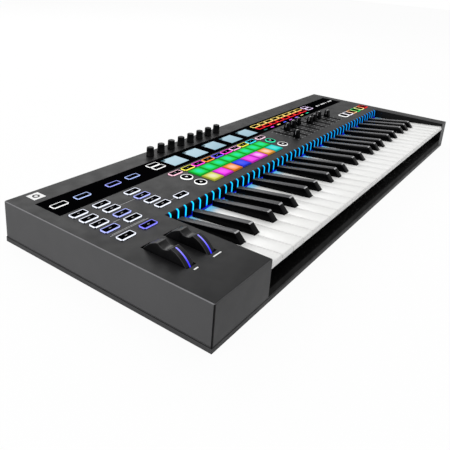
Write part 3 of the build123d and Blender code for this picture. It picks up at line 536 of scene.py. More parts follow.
darkSteel = mouldedPlastic("blackZincSteel", {
    "dark": shade("26262a"), "light": shade("34343a"), "roughness": (0.3, 0.45), "metallic": 1.0})
printedWhite = mouldedPlastic("printedWhite", {
    "dark": shade("dcdcdc"), "light": shade("f4f4f4"), "roughness": (0.5, 0.6), "cloudScale": 200.0})
printedGrey = mouldedPlastic("printedGrey", {
    "dark": shade("8c8c8e"), "light": shade("a6a6a8"), "roughness": (0.5, 0.6), "cloudScale": 200.0})
printedDim = mouldedPlastic("printedDim", {
    "dark": shade("7c7c7e"), "light": shade("8e8e90"), "roughness": (0.5, 0.6), "cloudScale": 200.0,
    "specular": 0.2})
litLine = glowing("litLine", 1.25)
noGlow = (0.0, 0.0, 0.0, 1.0)  # stored on repeated pieces that aren't lit

# the front rail and the fader units take the near-black painted shade
nodeMaterials = {
    "bottom_tray": trayPlastic, "front_rail": recessShadePlastic, "control_glass": stripGlass,
    "key_frame": framePlastic, "key_felt": feltRed, "key_contact_board": boardGreen, "key_springs": brightSteel,
    "light_rail": railPlastic, "main_board": boardGreen, "panel_board": boardGreen, "fader_units": recessShadePlastic,
    "encoder_units": darkSteel, "display_modules": stripGlass, "pad_sensor_board": boardGreen,
    "wheel_bracket": framePlastic, "wheel_pots": boardGreen, "rear_sockets": socketPlastic, "feet": footRubber,
    "case_screws": darkSteel, "power_button": buttonRubber,
}
for nodeName, material in nodeMaterials.items():
    for slot in frame["nodes"][nodeName].material_slots:
        slot.material = material
print("materials made")

# case: its outer edges are lightly rounded
caseLook = {"edge": 0.45 * mm, "near": 0.01 * mm}
caseLow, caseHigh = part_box("top_case")


# edges where two of the case's outer faces meet
def outerEdges(bm):
    near = caseLook["near"]
    chosen = []
    for edge in bm.edges:
        if not isCorner(edge, math.radians(60)):
            continue
        ends = [v.co for v in edge.verts]
        onSide = [all(abs(p.x - x) < near for p in ends) for x in (caseLow.x, caseHigh.x)]
        onEnd = [all(abs(p.y - y) < near for p in ends) for y in (caseLow.y, caseHigh.y)]
        onTop = all(abs(p.z - caseHigh.z) < near for p in ends)
        if any(onSide) + any(onEnd) + onTop >= 2:
            chosen.append(edge)
    return chosen


def roundedCase():
    bm = flatCopy("top_case")
    bevelEdges(bm, outerEdges(bm), caseLook["edge"], 3)
    piece = meshObject("top_case.rounded", bm, casePlastic, smoothBelow=35)
    markUpward(piece, caseRim)
    # painted shade: the walls inside the openings take the near-black tone
    inner = piece.data.attributes.new("inner", "FLOAT", "CORNER")
    reach = caseLook["edge"] + 0.1 * mm
    for polygon in piece.data.polygons:
        x, y, z = polygon.center
        depth = min(x - caseLow.x, caseHigh.x - x, y - caseLow.y, caseHigh.y - y, caseHigh.z - z)
        for corner in polygon.loop_indices:
            inner.data[corner].value = 0.0 if depth < reach else 1.0
    return piece


settle(roundedCase(), "chassis", "case_plastic", "top_case")

# keys: rounded top edges and a fuller radius along the front
keyShape = {"edge": 0.3 * mm, "frontRadius": 1.5 * mm, "blackEdge": 0.5 * mm, "blackFront": 1.4 * mm}


# rounds the edge where the top meets the front, before the small bevel
def roundFront(radius, lowest):
    def work(bm):
        front = []
        for edge in bm.edges:
            a, b = (v.co for v in edge.verts)
            if isCorner(edge, sharpAngle) and abs((b - a).normalized().x) > 0.99 and min(a.z, b.z) > lowest:
                normals = [f.normal for f in edge.link_faces]
                if any(n.z > 0.6 for n in normals) and any(n.y < -0.3 for n in normals):
                    front.append(edge)
        bevelEdges(bm, front, radius, 4)
    return work


# painted light of the pipes on the back ends of the white keys: a blue tone in their colour and a faint glow
pipeGlowLook = {"start": 20 * mm, "full": 2 * mm, "tone": shade("70d6ff"), "strength": 0.3}


def paintedPipeGlow(material, wallY):
    nodes, links = material.node_tree.nodes, material.node_tree.links
    shader = nodes["Principled BSDF"]
    plain = shader.inputs["Base Color"].links[0].from_socket
    along = axesOf(nodes, links, objectPoint(nodes))["Y"]
    near = ranged(nodes, links, along, (wallY - pipeGlowLook["start"], wallY - pipeGlowLook["full"]), smooth=True)
    links.new(mixColours(nodes, links, near, plain, pipeGlowLook["tone"]), shader.inputs["Base Color"])
    links.new(mixColours(nodes, links, near, (0, 0, 0, 1), pipeGlowLook["tone"]), shader.inputs["Emission Color"])
    shader.inputs["Emission Strength"].default_value = pipeGlowLook["strength"]


paintedPipeGlow(whiteKeyPlastic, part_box("light_rail")[0].y)
whiteNodes = ["keys_c", "keys_d", "keys_e", "keys_f", "keys_g", "keys_a", "keys_b", "key_top_c"]
blackNodes = ["keys_c_sharp", "keys_d_sharp", "keys_f_sharp", "keys_g_sharp", "keys_a_sharp"]
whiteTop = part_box("keys_c")[1].z
for nodeName in whiteNodes:
    rounding = roundFront(keyShape["frontRadius"], whiteTop - 1 * mm)
    piece = softened(nodeName, nodeName + ".rounded", whiteKeyPlastic, keyShape["edge"], 2, rounding)
    settle(piece, nodeName, "key_white", nodeName)
for nodeName in blackNodes:
    rounding = roundFront(keyShape["blackFront"], whiteTop + 5 * mm)
    piece = softened(nodeName, nodeName + ".rounded", blackKeyPlastic, keyShape["blackEdge"], 3, rounding)
    markUpward(piece, blackKeyRim)
    settle(piece, nodeName, "key_black", nodeName)
print("keys rounded")

# light pipes: cyan at the player's left, blue at the right, deep blue at the foot and down both edges
pipeLook = {"left": shade("20e8ff"), "right": shade("14a6ec"), "foot": shade("0818f0"), "edge": shade("0048d0"),
            "footRise": 4 * mm, "paleShare": 0.6, "strength": 1.3, "body": (0.0, 0.02, 0.04, 1), "roughness": 0.2}
pipes = looseParts("light_pipes")


def pipeMaterial():
    material, nodes, links, shader = startMaterial("litPipe")
    low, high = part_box("light_pipes")
    axes = axesOf(nodes, links, objectPoint(nodes))
    along = ranged(nodes, links, axes["X"], (low.x, high.x))
    length = mixColours(nodes, links, along, pipeLook["left"], pipeLook["right"])
    # the distance from the middle of the nearest pipe
    pitch = pipes[1][0].x - pipes[0][0].x
    halfWidth = (pipes[0][1].x - pipes[0][0].x) / 2
    shifted = maths(nodes, links, "SUBTRACT", axes["X"], (pipes[0][0].x + pipes[0][1].x) / 2)
    across = maths(nodes, links, "PINGPONG", shifted, pitch / 2)
    rim = ranged(nodes, links, across, (pipeLook["paleShare"] * halfWidth, halfWidth), smooth=True)
    edged = mixColours(nodes, links, rim, length, pipeLook["edge"])
    upward = ranged(nodes, links, axes["Z"], (low.z, low.z + pipeLook["footRise"]), smooth=True)
    colour = mixColours(nodes, links, upward, pipeLook["foot"], edged)
    links.new(colour, shader.inputs["Emission Color"])
    setInputs(shader, {"Emission Strength": pipeLook["strength"], "Base Color": pipeLook["body"],
                       "Roughness": pipeLook["roughness"], "Specular IOR Level": 0.0})
    return material


for slot in frame["nodes"]["light_pipes"].material_slots:
    slot.material = pipeMaterial()

# fine upright ribs on the wall between the light pipes
ribShape = {"count": 7, "radius": 0.42 * mm, "side": 1.1 * mm, "shorter": 3.4 * mm, "lift": 0.2 * mm}
railLow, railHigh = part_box("light_rail")
gapWidth = pipes[1][0].x - pipes[0][1].x
ribSpacing = (gapWidth - 2 * ribShape["side"]) / (ribShape["count"] - 1)
ribHeight = railHigh.z - railLow.z - ribShape["shorter"]
ribMiddle = railLow.z + ribHeight / 2 + ribShape["lift"]
ribStarts = [Vector((high.x + ribShape["side"], railLow.y, ribMiddle)) for low, high in pipes[:-1]]
ribs = scatterOn("railRibs", ribStarts, [noGlow] * len(ribStarts), ribRows, {
    "count": ribShape["count"], "spacing": ribSpacing, "radius": ribShape["radius"], "height": ribHeight},
    railPlastic)
settle(ribs, "chassis", "rail_plastic")

# painted glow: a thin deep blue glowing strip along the foot of the wall, behind the keys, stands in for the light
# of the pipes there
footLook = {"low": 35.0 * mm, "high": 36.7 * mm, "thick": 0.4 * mm, "short": 1 * mm, "tone": shade("1418e8"),
            "strength": 0.8}
footBox = (railLow.x + footLook["short"], railLow.y - footLook["thick"], footLook["low"],
           railHigh.x - footLook["short"], railLow.y, footLook["high"])
paintedFootGlow = blocks("paintedFootGlow", [footBox], glowing("footPaintedGlow", footLook["strength"], footLook["tone"]))
settle(paintedFootGlow, "chassis", "rail_plastic")
print("light wall done")

# buttons: rounded caps, lit outlines sunk into them and small generic marks
buttonLook = {"edge": 0.35 * mm, "inset": 0.4 * mm, "line": 0.85 * mm, "rise": 1.3 * mm, "proud": 0.14 * mm,
              "corner": 1.0 * mm, "stripLine": 0.8 * mm, "thickLine": 1.0 * mm}
buttonMark = {"width": 3.2 * mm, "depth": 0.8 * mm, "rise": 0.12 * mm}
sunk = Vector((0, 0, buttonLook["proud"] - buttonLook["rise"] / 2))
iceWhite, softWhite, violetBlue = shade("eef2ff"), shade("ffffff"), shade("8482ff")
lilac = shade("b0b8ff")


def litButtons(nodeName, colourOf, line=buttonLook["line"], marked=True):
    caps = softened(nodeName, nodeName + ".caps", buttonRubber, buttonLook["edge"], 2)
    settle(caps, nodeName, "button_rubber", nodeName)
    boxes = looseParts(nodeName)
    centres = topCentres(boxes)
    low, high = boxes[0]
    glow = [colourOf(n, c) for n, c in enumerate(centres)]
    outline = scatterOn(nodeName + ".outlines", [c + sunk for c in centres], glow, outlines, {
        "width": high.x - low.x - 2 * buttonLook["inset"], "depth": high.y - low.y - 2 * buttonLook["inset"],
        "corner": buttonLook["corner"], "line": line, "rise": buttonLook["rise"]}, litLine)
    settle(outline, nodeName, "button_rubber")
    if marked:
        marks = scatterOn(nodeName + ".marks", centres, glow, bars, buttonMark, printedGrey)
        settle(marks, nodeName, "button_rubber")


def gridColour(n, centre):
    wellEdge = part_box("light_rail")[1].y
    if centre.y < wellEdge + 5 * mm:
        return iceWhite if centre.x < cadLow.x + 50 * mm else violetBlue
    return lilac if n in (1, 7, 12) else iceWhite


softRowColours = [shade("ffc9dc"), shade("f6ee50"), shade("ff3ee0"), shade("ff9a2e"), shade("6a5cff"),
                  shade("ff3edb"), shade("ffb9ee"), shade("f4ee46"), shade("38e6ff"), shade("ffd9ec")]
transportColours = [shade("ffffff"), shade("f6f4ff"), shade("ffc08a"), shade("35e06a"), shade("f4f0a0"),
                    shade("ff2a2a")]
stripColours = {"left": [shade("ffffff"), shade("b8ccff"), shade("a0a8ff"), shade("b0c4ff")],
                "upper": shade("ffe27a"), "lower": shade("ff1f2e"), "end": shade("f2dcff")}
# where the buttons of the strip change, measured from its left end
stripZones = {"single": 170 * mm, "pair": 220 * mm, "rows": 650 * mm}


def stripColour(n, centre):
    fromLeft = centre.x - cadLow.x
    middle = (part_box("control_glass")[0].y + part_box("control_glass")[1].y) / 2
    if fromLeft < stripZones["single"]:
        return stripColours["left"][min(3, n)]
    if fromLeft < stripZones["pair"]:
        return softWhite
    if fromLeft > stripZones["rows"]:
        return stripColours["end"]
    return stripColours["upper"] if centre.y > middle else stripColours["lower"]


litButtons("grid_buttons", gridColour)
litButtons("strip_buttons", stripColour, buttonLook["stripLine"], marked=False)
litButtons("soft_buttons", lambda n, c: softRowColours[n])
litButtons("transport_buttons", lambda n, c: transportColours[n], buttonLook["thickLine"], marked=False)

roundBoxes = looseParts("round_buttons")
roundCaps = softened("round_buttons", "round_buttons.caps", buttonRubber, buttonLook["edge"], 2)
settle(roundCaps, "round_buttons", "button_rubber", "round_buttons")
roundRadius = (roundBoxes[0][1].x - roundBoxes[0][0].x) / 2
roundColours = [shade("ffffff"), shade("ffffff"), shade("f0f0f0"), shade("30e8b0")]
roundRings = scatterOn("round_buttons.rings", [c + sunk for c in topCentres(roundBoxes)], roundColours, rings, {
    "radius": roundRadius - buttonLook["inset"], "line": buttonLook["thickLine"], "rise": buttonLook["rise"]},
    litLine)
settle(roundRings, "round_buttons", "button_rubber")
arrowLook = {"size": 2.6 * mm, "back": 0.7, "point": 0.8, "rise": 0.15 * mm}


# a small triangle on each round button: the near ones point to the back, the far ones to the front
def arrowMarks():
    bm = bmesh.new()
    size, rise = arrowLook["size"], arrowLook["rise"]
    for n, centre in enumerate(topCentres(roundBoxes)):
        way = size if n % 2 == 0 else -size
        corners = [(-size, -arrowLook["back"] * way), (size, -arrowLook["back"] * way),
                   (0, arrowLook["point"] * way)]
        slab(bm, [(centre.x + x, centre.y + y) for x, y in corners], centre.z - rise / 2, centre.z + rise)
    return meshObject("round_buttons.arrows", bm, printedWhite)


settle(arrowMarks(), "round_buttons", "button_rubber")
print("buttons done")

# pads: soft square tops, each lit from inside, with a pale heart and darker towards its four sides
padLook = {"edge": 1.6 * mm, "strength": 1.0, "heart": (0.05, 0.5), "border": (0.36, 0.5), "borderTone": 0.45,
           "body": (0.003, 0.003, 0.003, 1), "roughness": 0.5, "specular": 0.01}
padColours = {
    "pads_back": [shade("00d838")] * 8,
    "pads_front": [shade("d8d84c"), shade("f832f4"), shade("ff8c1e"), shade("2440f4"), shade("f434f0"),
                   shade("f848f0"), shade("f8a432"), shade("00e0d4")],
}
padHearts = {"pads_back": shade("20f0c4"), "pads_front": shade("ffffff")}
# how far the middle of each pad turns to its heart
padShares = {"pads_back": [0.7] * 8, "pads_front": [0.5, 0.1, 0.42, 0.06, 0.08, 0.5, 0.5, 0.12]}


def padMaterial(name, heart):
    material, nodes, links, shader = startMaterial(name)
    own = addNode(nodes, "ShaderNodeAttribute", attribute_name="glow").outputs
    top = addNode(nodes, "ShaderNodeUVMap", uv_map="padTop").outputs["UV"]
    centred = vectorMaths(nodes, links, "SUBTRACT", top, (0.5, 0.5, 0.0))
    distance = vectorMaths(nodes, links, "LENGTH", centred)
    fall = ranged(nodes, links, distance, padLook["heart"], (1.0, 0.0), smooth=True)
    share = maths(nodes, links, "MULTIPLY", fall, own["Alpha"])
    colour = mixColours(nodes, links, share, own["Color"], heart)
    away = axesOf(nodes, links, vectorMaths(nodes, links, "ABSOLUTE", centred))
    farthest = maths(nodes, links, "MAXIMUM", away["X"], away["Y"])
    border = ranged(nodes, links, farthest, padLook["border"], (1.0, padLook["borderTone"]), smooth=True)
    links.new(scaled(nodes, links, colour, border), shader.inputs["Emission Color"])
    setInputs(shader, {"Emission Strength": padLook["strength"], "Base Color": padLook["body"],
                       "Roughness": padLook["roughness"], "Specular IOR Level": padLook["specular"]})
    return material


def litPads(nodeName):
    boxes = looseParts(nodeName)
    centres = topCentres(boxes)
    material = padMaterial(nodeName + "Glow", padHearts[nodeName])
    piece = softened(nodeName, nodeName + ".silicone", material, padLook["edge"], 3)
    mesh = piece.data
    glow = mesh.attributes.new("glow", "FLOAT_COLOR", "CORNER")
    uvMap = mesh.uv_layers.new(name="padTop")
    for polygon in mesh.polygons:
        for corner in polygon.loop_indices:
            point = mesh.vertices[mesh.loops[corner].vertex_index].co
            index = min(range(len(boxes)), key=lambda k: abs(centres[k].x - point.x))
            glow.data[corner].color = (*padColours[nodeName][index][:3], padShares[nodeName][index])
            uvMap.data[corner].uv = shareOf(point, *boxes[index])
    settle(piece, nodeName, "pad_rubber", nodeName)


litPads("pads_front")
litPads("pads_back")
print("pads done")

# knobs: fluted sides, a soft-edged top and a pointer line
knobShape = {"flutes": 18, "steps": 72, "fluteDepth": 0.4 * mm, "topRound": 1.0 * mm, "dish": 0.35 * mm,
             "topShare": 0.855, "lift": 0.4 * mm}
pointerLook = {"width": 0.8 * mm, "depth": 3.2 * mm, "rise": 0.2 * mm}


def knobPiece(nodeName):
    low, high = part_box(nodeName)
    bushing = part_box("encoder_units")[1].z
    centre = topCentre(low, high)
    base = (high.x - low.x) / 2
    foot = bushing + knobShape["lift"]
    top = base * knobShape["topShare"]
    height = high.z - foot
    rounding = knobShape["topRound"]
    profile = [  # radius, height above the foot, how deep the flutes are
        (base - 0.5 * mm, 0.0, 0), (base - 0.1 * mm, 0.3 * mm, 0), (base - 0.15 * mm, 1.6 * mm, 0.3),
        (base - 0.6 * mm, 2.4 * mm, 1), (top + 0.1 * mm, height - 2.2 * mm, 1),
        (top, height - rounding, 0.6), (top - 0.3 * rounding, height - 0.35 * rounding, 0.1),
        (top - rounding, height, 0), (top - 2.2 * mm, height - knobShape["dish"], 0),
    ]
    bm = bmesh.new()
    loops = []
    for radius, rise, flute in profile:
        loop = []
        for step in range(knobShape["steps"]):
            angle = 2 * math.pi * step / knobShape["steps"]
            wave = 0.5 - 0.5 * math.cos(knobShape["flutes"] * angle)
            r = radius - flute * knobShape["fluteDepth"] * wave
            loop.append(bm.verts.new((centre.x + r * math.cos(angle), centre.y + r * math.sin(angle), foot + rise)))
        loops.append(loop)
    for lower, upper in zip(loops, loops[1:]):
        joinLoops(bm, lower, upper)
    bm.faces.new(loops[-1])
    bm.faces.new(list(reversed(loops[0])))
    piece = meshObject(nodeName + ".fluted", bm, controlPlastic, smoothBelow=50)
    settle(piece, nodeName, "control_black", nodeName)
    pointerAt = centre + Vector((0, top * 0.62, -pointerLook["rise"] / 2))
    pointer = scatterOn(nodeName + ".pointer", [pointerAt], [noGlow], bars, pointerLook, printedGrey)
    settle(pointer, nodeName, "control_black")


for number in range(1, 9):
    knobPiece(f"knob_{number}")
print("knobs done")

# fader caps: rounded, with a printed pale line across the top and a thin painted highlight down each side
faderLook = {"edge": 0.5 * mm, "lineShorter": 1.6 * mm, "lineDepth": 0.8 * mm, "lineRise": 0.2 * mm,
             "lineSink": 0.05 * mm, "sideHalf": 0.4 * mm, "sideProud": 0.08 * mm, "sideTop": 0.5 * mm,
             "sideFoot": 7.5 * mm}
for number in range(1, 9):
    nodeName = f"fader_cap_{number}"
    low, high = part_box(nodeName)
    centre = topCentre(low, high)
    cap = softened(nodeName, nodeName + ".rounded", controlPlastic, faderLook["edge"], 3)
    settle(cap, nodeName, "control_black", nodeName)
    lineSize = {"width": high.x - low.x - faderLook["lineShorter"], "depth": faderLook["lineDepth"],
                "rise": faderLook["lineRise"]}
    lineAt = centre - Vector((0, 0, faderLook["lineSink"]))
    line = scatterOn(nodeName + ".line", [lineAt], [noGlow], bars, lineSize, printedWhite)
    settle(line, nodeName, "control_black")
    # painted highlight: a thin grey line down both sides of each cap
    half, proud = faderLook["sideHalf"], faderLook["sideProud"]
    sideHighlights = blocks(nodeName + ".sideHighlights", [
        (x - proud, centre.y - half, high.z - faderLook["sideFoot"],
         x + proud, centre.y + half, high.z - faderLook["sideTop"]) for x in (low.x, high.x)], printedGrey)
    settle(sideHighlights, nodeName, "control_black")
print("fader caps done")

# wheels: soft edges and a lit line round the front of the rim; angles are from straight up to the player
wheelLook = {"edge": 1.3 * mm, "halfAngle": 85.0, "lineWidth": 1.9 * mm, "from": 17.0, "to": 68.0, "steps": 24,
             "lift": 0.05 * mm, "sink": 0.6 * mm, "lowTone": shade("2014ff"), "highTone": shade("8c86ff"),
             "toneRange": (11 * mm, 1 * mm), "strength": 1.1, "body": (0.02, 0.02, 0.06, 1)}


def wheelGlow():
    material, nodes, links, shader = startMaterial("wheelLitLine")
    low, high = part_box("pitch_wheel")
    below, above = wheelLook["toneRange"]
    rise = axesOf(nodes, links, objectPoint(nodes))["Z"]
    share = ranged(nodes, links, rise, (high.z - below, high.z - above))
    colour = mixColours(nodes, links, share, wheelLook["lowTone"], wheelLook["highTone"])
    links.new(colour, shader.inputs["Emission Color"])
    setInputs(shader, {"Emission Strength": wheelLook["strength"], "Base Color": wheelLook["body"]})
    return material


def wheelStrip(name, axle, radius):
    bm = bmesh.new()
    half, sink, lift = wheelLook["lineWidth"] / 2, radius - wheelLook["sink"], radius + wheelLook["lift"]
    rows = []
    for step in range(wheelLook["steps"] + 1):
        turned = wheelLook["from"] + (wheelLook["to"] - wheelLook["from"]) * step / wheelLook["steps"]
        angle = math.radians(turned)
        rows.append([bm.verts.new((axle.x + side, axle.y - r * math.sin(angle), axle.z + r * math.cos(angle)))
                     for side, r in ((-half, sink), (-half, lift), (half, lift), (half, sink))])
    for first, second in zip(rows, rows[1:]):
        joinLoops(bm, first, second)
    bm.faces.new(rows[0])
    bm.faces.new(list(reversed(rows[-1])))
    return meshObject(name, bm, wheelLine)


wheelLine = wheelGlow()
for nodeName in ("pitch_wheel", "mod_wheel"):
    low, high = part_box(nodeName)
    joint = [j for j in frame["joints"] if j["child"] == nodeName][0]
    radius = (high.y - low.y) / 2 / math.sin(math.radians(wheelLook["halfAngle"]))
    piece = softened(nodeName, nodeName + ".soft", wheelRubber, wheelLook["edge"], 3)
    markUpward(piece, wheelRim)
    settle(piece, nodeName, "wheel_black", nodeName)
    settle(wheelStrip(nodeName + ".litLine", Vector(joint["pos_m"]), radius), nodeName, "wheel_black")
print("wheels done")

# screens: pale lit faces with a dark corner patch and a band along the near edge
screenLook = {"border": 0.6 * mm, "lift": 0.05 * mm, "sink": 0.2 * mm, "near": shade("92b4c4"),
              "far": shade("a2c4d2"), "patch": shade("0c4a58"), "patchAt": (0.06, 0.94, 0.0), "patchReach": 0.17,
              "band": shade("8fb8c8"), "bandShare": 0.16, "body": (0.005, 0.008, 0.01, 1), "roughness": 0.15,
              "specular": 0.05}


def screenMaterial():
    material, nodes, links, shader = startMaterial("litScreen")
    face = addNode(nodes, "ShaderNodeUVMap", uv_map="screen").outputs["UV"]
    up = axesOf(nodes, links, face)["Y"]
    wash = mixColours(nodes, links, up, screenLook["near"], screenLook["far"])
    distance = vectorMaths(nodes, links, "DISTANCE", face, screenLook["patchAt"])
    inPatch = maths(nodes, links, "LESS_THAN", distance, screenLook["patchReach"])
    patched = mixColours(nodes, links, inPatch, wash, screenLook["patch"])
    inBand = maths(nodes, links, "LESS_THAN", up, screenLook["bandShare"])
    links.new(mixColours(nodes, links, inBand, patched, screenLook["band"]), shader.inputs["Emission Color"])
    setInputs(shader, {"Emission Strength": 1.0, "Base Color": screenLook["body"],
                       "Roughness": screenLook["roughness"], "Specular IOR Level": screenLook["specular"]})
    return material


def screenFaces():
    bm = bmesh.new()
    layer = bm.loops.layers.uv.new("screen")
    b = screenLook["border"]
    for low, high in looseParts("display_modules"):
        outline = [(low.x + b, low.y + b), (high.x - b, low.y + b), (high.x - b, high.y - b),
                   (low.x + b, high.y - b)]
        for face in slab(bm, outline, high.z - screenLook["sink"], high.z + screenLook["lift"]):
            for loop in face.loops:
                loop[layer].uv = shareOf(loop.vert.co, low, high)
    return meshObject("screenFaces", bm, screenMaterial())


settle(screenFaces(), "chassis", "screen")
print("screens done")

# lit bars above the faders, one under each pair of strip buttons
barLook = {"setback": 8.5 * mm, "size": {"width": 10 * mm, "depth": 2.4 * mm, "rise": 0.2 * mm}}
barColours = [shade("1f6f6a"), shade("e83cf0"), shade("ffe08a"), shade("4f66ff"), shade("e84cf0"),
              shade("a86cff"), shade("e6e890"), shade("30d8a8")]
glassLow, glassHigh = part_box("control_glass")
stripColumns = sorted({round(c.x, 5) for c in topCentres(looseParts("strip_buttons"))})
barPoints = [Vector((x, glassLow.y + barLook["setback"], glassHigh.z)) for x in stripColumns[5:13]]
faderBars = scatterOn("faderBars", barPoints, barColours, bars, barLook["size"], litLine)
settle(faderBars, "chassis", "strip_glass")

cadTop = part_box("top_case")[1].z
left, front = cadLow.x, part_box("bottom_tray")[0].y
printRise = 0.12 * mm


# printed rectangles, each given by its low and high corner
def flatMark(name, boxes, material, level=cadTop):
    return blocks(name, [(x0, y0, level - printRise, x1, y1, level + printRise) for x0, y0, x1, y1 in boxes],
                  material)


# a short and a long mark in front of the wheels, measured from the case's left front corner
wheelMarkLook = {"front": 46 * mm, "back": 47.6 * mm, "spans": ((30.7 * mm, 36.9 * mm), (61.4 * mm, 74.6 * mm))}
wheelMarks = [(left + start, front + wheelMarkLook["front"], left + end, front + wheelMarkLook["back"])
              for start, end in wheelMarkLook["spans"]]
settle(flatMark("wheelMarks", wheelMarks, printedWhite), "chassis", "case_plastic")

# plain bars where the strip has its lettering
titleLook = {"start": 701 * mm, "step": 11.6 * mm, "widths": (9, 5, 12, 8, 4, 11, 9), "unit": 0.8 * mm,
             "near": 17.5 * mm, "far": 21.5 * mm}
titleBars = []
for n, width in enumerate(titleLook["widths"]):
    start = left + titleLook["start"] + n * titleLook["step"]
    titleBars.append((start, glassLow.y + titleLook["near"], start + width * titleLook["unit"],
                      glassLow.y + titleLook["far"]))
settle(flatMark("titleBars", titleBars, printedWhite, level=glassHigh.z), "chassis", "strip_glass")

# a plain badge: a white square with a black ring
badgeLook = {"x": 31.7 * mm, "y": 283.7 * mm, "half": 8.1 * mm, "lift": 0.1 * mm,
             "ring": {"radius": 3.4 * mm, "line": 2.0 * mm, "rise": 0.25 * mm}}
badgeAt = Vector((left + badgeLook["x"], front + badgeLook["y"], cadTop))
half = badgeLook["half"]
badge = flatMark("badgeSquare", [(badgeAt.x - half, badgeAt.y - half, badgeAt.x + half, badgeAt.y + half)],
                 printedWhite)
settle(badge, "chassis", "case_plastic")
badgeDot = scatterOn("badgeDot", [badgeAt + Vector((0, 0, badgeLook["lift"]))], [noGlow], rings,
                     badgeLook["ring"], controlPlastic)
settle(badgeDot, "chassis", "case_plastic")

# printed lines that join the left buttons
gridBoxes = looseParts("grid_buttons")
gridCentres = topCentres(gridBoxes)
columnXs = sorted({round(c.x, 4) for c in gridCentres})
rowYs = sorted({round(c.y, 4) for c in gridCentres})
half, line = (gridBoxes[0][1].x - gridBoxes[0][0].x) / 2 + 1.2 * mm, 0.3 * mm
joinLines = [
    (columnXs[1] + half, rowYs[-2] - line, columnXs[2] - half, rowYs[-2] + line),
    (columnXs[0] + half, rowYs[1] + 8.0 * mm, columnXs[1] - half, rowYs[1] + 8.6 * mm),
    (columnXs[2] + half, rowYs[1] - line, columnXs[3] - half, rowYs[1] + line),
    (columnXs[0] - half, rowYs[0] + 10.4 * mm, columnXs[1] + half, rowYs[0] + 11.0 * mm),
    (columnXs[0] - half + 4 * mm, rowYs[0] + 12.2 * mm, columnXs[1] + half - 4 * mm, rowYs[0] + 12.8 * mm),
]
settle(flatMark("joinLines", joinLines, printedGrey), "chassis", "case_plastic")

# fader scales and a black strip along both sides of each slot, painted shade that widens the slot's dark line
scaleLook = {"ticks": 7, "start": 4.8 * mm, "tick": {"width": 4.6 * mm, "depth": 0.9 * mm, "rise": 0.16 * mm}}
slotLook = {"front": 60.6 * mm, "back": 8.2 * mm, "half": 1.55 * mm, "surround": 1.5 * mm, "longer": 1.0 * mm}
slotFront, slotBack = glassLow.y - slotLook["front"], glassLow.y - slotLook["back"]
tickPoints, slotShadeMarks = [], []
for number in range(1, 9):
    x = topCentre(*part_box(f"fader_cap_{number}")).x
    for side in (-1, 1):
        edges = sorted((x + side * slotLook["half"], x + side * (slotLook["half"] + slotLook["surround"])))
        slotShadeMarks.append((edges[0], slotFront - slotLook["longer"], edges[1], slotBack + slotLook["longer"]))
        tickX = x + side * (scaleLook["start"] + scaleLook["tick"]["width"] / 2)
        for n in range(scaleLook["ticks"]):
            y = slotFront + (slotBack - slotFront) * n / (scaleLook["ticks"] - 1)
            tickPoints.append(Vector((tickX, y, cadTop)))
settle(flatMark("slotShadeSurrounds", slotShadeMarks, recessShadePlastic), "chassis", "case_plastic")
ticks = scatterOn("faderScales", tickPoints, [noGlow] * len(tickPoints), bars, scaleLook["tick"], printedDim)
settle(ticks, "chassis", "case_plastic")

# round the foot of the case: a skirt over the tray, a dark gap above it and a black strip up each front corner,
# partly the corner seam and partly a painted dark reflection
skirtLook = {"low": 0.4 * mm, "gap": 0.8 * mm, "cornerStrip": 1.3 * mm, "proud": 0.06 * mm, "thick": 0.3 * mm}
gapLow, gapHigh = caseLow.z - skirtLook["gap"] / 2, caseLow.z + skirtLook["gap"] / 2


# a closed ring of blocks round the case between two heights
def ringBlocks(low, high, reach):
    x0, x1, y0, y1 = caseLow.x - reach, caseHigh.x + reach, caseLow.y - reach, caseHigh.y + reach
    wall = reach + skirtLook["thick"]
    return [(x0, y0, low, x0 + wall, y1, high), (x1 - wall, y0, low, x1, y1, high),
            (x0 + wall, y1 - wall, low, x1 - wall, y1, high), (x0 + wall, y0, low, x1 - wall, y0 + wall, high)]


proud, cornerStrip = skirtLook["proud"], skirtLook["cornerStrip"]
settle(blocks("traySkirt", ringBlocks(skirtLook["low"], gapLow, 2 * proud), trayPlastic), "chassis", "tray_plastic")
gapAndCornerBoxes = ringBlocks(gapLow, gapHigh, proud)
for x0, x1 in ((caseLow.x - proud, caseLow.x + cornerStrip), (caseHigh.x - cornerStrip, caseHigh.x + proud)):
    gapAndCornerBoxes.append((x0, caseLow.y - proud, gapHigh, x1, caseLow.y + cornerStrip, caseHigh.z - caseLook["edge"]))
settle(blocks("caseGapsAndCorners", gapAndCornerBoxes, railPlastic), "chassis", "rail_plastic")
print("marks done")

# stage: a pale floor and a plain white background
stageLook = {"floorDark": shade("f2f2f2"), "floorLight": shade("f6f6f6"), "floorCloud": 2.0, "floorSize": 12.0,
             "whiteShare": 0.95, "worldLight": 0.42}


# 1 for the rays that should see the white background
def whiteRays(nodes, links):
    rays = addNode(nodes, "ShaderNodeLightPath").outputs
    seen = maths(nodes, links, "MAXIMUM", rays["Is Camera Ray"], rays["Is Glossy Ray"])
    return maths(nodes, links, "MAXIMUM", seen, rays["Is Transmission Ray"])


